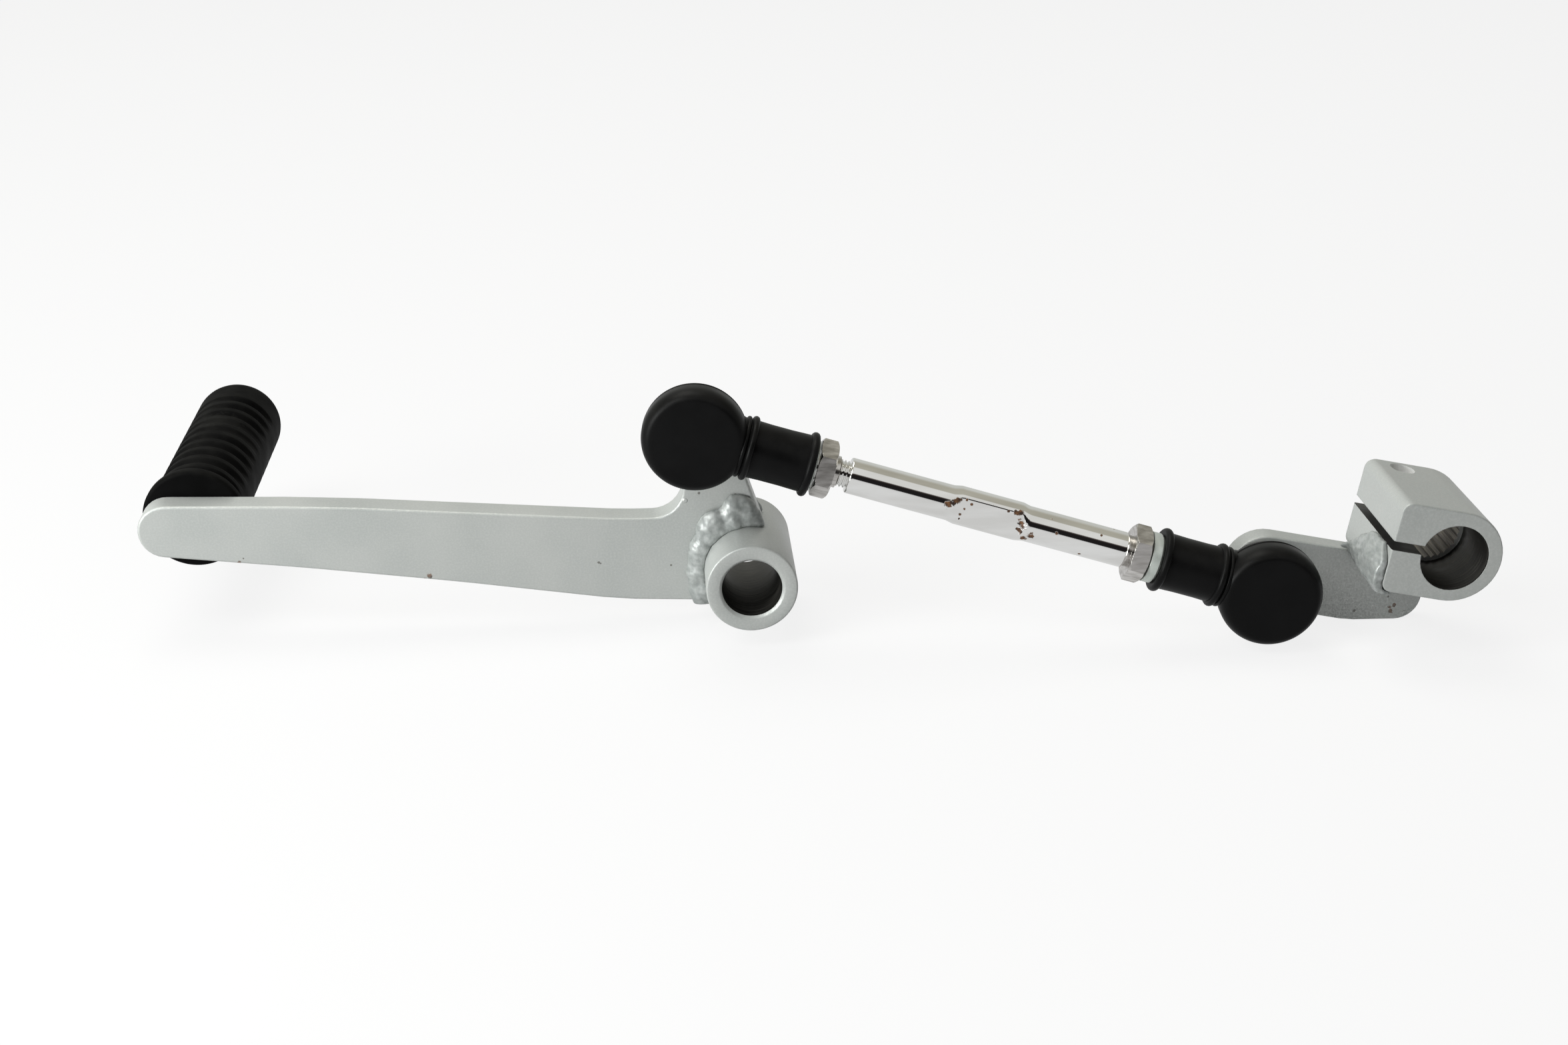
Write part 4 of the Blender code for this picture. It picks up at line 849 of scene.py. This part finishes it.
# %% [markdown]
# A nylon ring sits on each collar behind the boot's lip. It is a plain turned ring with its
# front corner rounded.

# %% Seal rings
def seal(name, node, body, place):
    """Ring of nylon round the stud's collar."""
    rear = BALL_TO_PLATE - 0.3
    ring = [(4.3, rear), (4.3, rear - 1.0)] + corner(5.65, rear - 0.70, 0.35, -90.0, 0.0, 3) + [(6.0, rear)]
    piece = turned(name, ring, steps=72, closed=True)
    settle(piece, place)
    finish_piece(piece, body, [node], [nylon_look], 45.0)


seal("seal_ring_left_turned", "seal_ring_left", "left_ring", left_frame)
seal("seal_ring_right_turned", "seal_ring_right", "right_ring", arm_frame)

# %% [markdown]
# The rubber boot is one moulding: a round cover with a flat face and a rolled shoulder, a
# thin rear rim, a lip that closes towards the stud, and a neck with ribs over the shank.
# Cover and neck are turned about different axes and joined, then hollowed for the socket.

# %% Boots
FACE = 6.1
inside = [(0.0, -5.2), (7.7, -5.2), (8.0, -4.9), (8.0, 3.6), (6.5, 4.9), (4.0, 5.2), (4.0, 6.6), (0.0, 6.6)]


def boot(name, node, place, reach):
    """Boot in the frame of its ball, with its neck along X up to a reach."""
    cover = [(0.0, -FACE), (7.9, -FACE)]
    cover += [(8.2 + 2.0 * math.sin(math.radians(t)), -FACE + 3.1 * (1.0 - math.cos(math.radians(t)))) for t in range(6, 91, 7)]
    cover += [(10.2, -1.0), (10.12, -0.85), (9.82, -0.62), (9.80, -0.45), (10.02, -0.25), (10.12, -0.05), (10.0, 0.4)]
    cover += [(9.6, 0.9), (9.0, 2.1), (8.75, 3.2), (8.5, 4.0), (8.05, 4.7), (7.4, 5.2), (6.9, 5.5), (6.55, 5.85), (6.2, 5.9), (0.0, 5.9)]
    piece = turned(name, cover, steps=128)
    neck = [(0.0, 4.5), (5.9, 4.5), (5.75, 8.2), (5.6, 8.7)]
    neck += [(5.62 + 0.42 * math.sin(math.radians(t)), 9.4 - 0.45 * math.cos(math.radians(t))) for t in range(0, 181, 30)]
    neck += [(5.58, 9.92)]
    neck += [(5.6 + 0.75 * math.sin(math.radians(t)), 10.7 - 0.7 * math.cos(math.radians(t))) for t in range(0, 181, 20)]
    neck += [(5.58, 11.6), (5.5, 14.0), (5.5, 18.0), (5.6, 21.3)]
    neck += [(5.6 + 0.75 * math.sin(math.radians(t)), reach - 0.8 - 0.8 * math.cos(math.radians(t))) for t in range(0, 171, 17)]
    neck += [(5.5, reach), (0.0, reach)]
    carve(piece, turned(name + "_neck", neck, steps=96, along="X"), "UNION")
    carve(piece, turned(name + "_hollow", inside, steps=64))
    carve(piece, turned(name + "_neck_bore", [(0.0, 6.47), (4.8, 6.47), (4.8, 24.5), (0.0, 24.5)], steps=64, along="X"))
    settle(piece, place)
    finish_piece(piece, "link", [node], [boot_rubber], 38.0)


ROD_LENGTH = (ball_right - ball_left).length
right_end = rod_frame @ Matrix.Translation((ROD_LENGTH, 0.0, 0.0)) @ Matrix.Rotation(math.pi, 4, "Y")
boot("boot_left_moulded", "boot_left", rod_frame, 23.4)
boot("boot_right_moulded", "boot_right", right_end, 23.1)

# %% [markdown]
# ## The rod
# The rod has a turned shoulder at each end, a short length of bare thread, and two flats that
# were pressed in for a wrench, so the metal bulges a little above and below them.

# %% Tie rod
THREAD, ROD, TIP = 2.5, 3.5, 10.5
LEFT_SHOULDER, RIGHT_SHOULDER, END = 30.5, 86.8, ROD_LENGTH / MM
profile = [(0.0, TIP), (THREAD - 0.5, TIP), (THREAD, TIP + 0.5), (THREAD, 27.55)]
for turn_number in range(4):
    at = 27.75 + 0.68 * turn_number
    profile += [(THREAD - 0.20, at), (THREAD + 0.18, at + 0.24), (THREAD + 0.18, at + 0.34), (THREAD - 0.20, at + 0.58)]
profile += [(THREAD - 0.12, LEFT_SHOULDER), (ROD - 0.45, LEFT_SHOULDER)] + corner(ROD - 0.35, LEFT_SHOULDER + 0.35, 0.35, -90.0, 0.0, 4)[1:]
profile += [(ROD, LEFT_SHOULDER + 0.6 + (RIGHT_SHOULDER - LEFT_SHOULDER - 1.2) * i / 110) for i in range(111)]
profile += [(ROD, RIGHT_SHOULDER - 0.35), (ROD - 0.1, RIGHT_SHOULDER - 0.1), (ROD - 0.35, RIGHT_SHOULDER), (THREAD - 0.1, RIGHT_SHOULDER)]
profile += [(THREAD, RIGHT_SHOULDER + 0.4), (THREAD, END - TIP - 0.5), (THREAD - 0.5, END - TIP), (0.0, END - TIP)]
rod = turned("tie_rod_chromed", profile, steps=80, along="X")
for vertex in rod.data.vertices:
    x = vertex.co.x / MM
    pressed = min(1.0, max(0.0, (x - 51.1) / 1.5), max(0.0, (66.6 - x) / 1.5))
    if pressed > 0.0:
        limit = (3.5 - 0.9 * pressed) * MM
        vertex.co.y = max(-limit, min(limit, vertex.co.y))
        vertex.co.z *= 1.0 + 0.1 * pressed
settle(rod, rod_frame)
finish_piece(rod, "link", ["tie_rod"], [chrome_look], 35.0)

# %% [markdown]
# The lock nuts are thin hexagons. A six-sided cylinder is trimmed with a turned shape, which
# leaves the curved chamfers at the corners, then drilled.

# %% Lock nuts
NUT_FLATS, NUT_THICKNESS = 10.0, 3.4


def lock_nut(name, node, start):
    """Hexagon nut at a distance along the rod."""
    clear_selection()
    corner_radius = NUT_FLATS / math.sqrt(3.0) * MM
    bpy.ops.mesh.primitive_cylinder_add(vertices=6, radius=corner_radius, depth=NUT_THICKNESS * MM, rotation=(0.0, math.pi / 2, 0.0))
    piece = bpy.context.object
    piece.name = name
    piece.data.name = name
    bpy.ops.object.transform_apply(location=True, rotation=True, scale=True)
    turn_by = math.radians(18.5) - math.atan2(piece.data.vertices[0].co.z, piece.data.vertices[0].co.y)
    lift = Matrix.Translation((NUT_THICKNESS * MM / 2, 0.0, 0.0)) @ Matrix.Rotation(turn_by, 4, "X")
    settle(piece, lift)
    outer = [(0.0, -0.2), (4.5, -0.2), (5.05, 0.0), (5.4, 0.18), (5.9, 0.5), (5.9, 2.9), (5.4, 3.22), (5.05, 3.4), (4.5, 3.6), (0.0, 3.6)]
    carve(piece, turned(name + "_trim", outer, steps=96, along="X"), "INTERSECT")
    hole = [(0.0, -1.0), (3.1, -1.0), (3.1, 0.0), (2.8, 0.3), (2.8, 3.1), (3.1, 3.4), (3.1, 4.4), (0.0, 4.4)]
    carve(piece, turned(name + "_hole", hole, steps=48, along="X"))
    clean(piece)
    settle(piece, rod_frame @ Matrix.Translation((start * MM, 0.0, 0.0)))
    finish_piece(piece, "link", [node], [zinc_look], 25.0)


lock_nut("lock_nut_left_hexagon", "lock_nut_left", 24.0)
lock_nut("lock_nut_right_hexagon", "lock_nut_right", 87.6)

# %% [markdown]
# The sockets hide inside the boots, apart from the collar at the nut. Copies of their solids
# are merged and shaded, because nothing is gained from modelling them again.

# %% Sockets
for side in ("left", "right"):
    cup = copy_node("socket_" + side, "socket_" + side + "_plated")
    finish_piece(cup, "link", ["socket_" + side], [socket_look], 35.0)

# %% [markdown]
# ## The arm
# The arm plate and the clamp keep the outline of their solids too. The clamp's bore and slot
# get the darkened bare steel inside, a painted shade; the spline and the pinch hole get finishes of their own.

# %% Arm plate and clamp
arm = copy_node("arm_plate", "arm_plate_painted")
finish_piece(arm, "arm", ["arm_plate"], [arm_paint], 50.0)
weighted(arm)
clamp = copy_node("clamp_body", "clamp_body_painted")
finish_piece(clamp, "arm", ["clamp_body"], [arm_paint, shaded_bore_look, shaded_spline_look, hole_look_painted_light], 40.0)
weighted(clamp)
bore_centre = arm_frame @ (Vector((29.2, 0.0, 17.15)) * MM)
paint_bore(clamp, bore_centre.x, bore_centre.z, 6.75 * MM)
into_arm = arm_frame.inverted()
SLOT_HEIGHT = 17.65
counts = [0, 0, 0]
for face in clamp.data.polygons:
    here = into_arm @ face.center / MM
    # Bore faces past the spline's start get the darkened spline steel, also a painted shade.
    if face.material_index == 1 and here.y > 1.6:
        face.material_index = 2
        counts[0] += 1
    # The pinch hole's walls get the near-white steel, partly clean metal and partly painted light.
    elif math.hypot(here.x - 22.6, here.y - 7.9) < 2.6 and abs(face.normal.z) < 0.5:
        face.material_index = 3
        counts[1] += 1
    # The slot's walls get the darkened bore steel: a painted shade in the narrow slot.
    elif abs(abs(here.z - SLOT_HEIGHT) - 0.9) < 0.03 and here.x < 25.0:
        face.material_index = 1
        counts[2] += 1
print("spline, pinch hole and slot faces:", counts)

# %% [markdown]
# The pin inside the toe rubber and the two seats stay as they are. They are hidden, so they
# only get their material.

# %% Hidden solids
for node, look in (("peg_pin", zinc_look), ("ball_seat_left", nylon_look), ("ball_seat_right", nylon_look)):
    frame["nodes"][node].material_slots[0].material = look
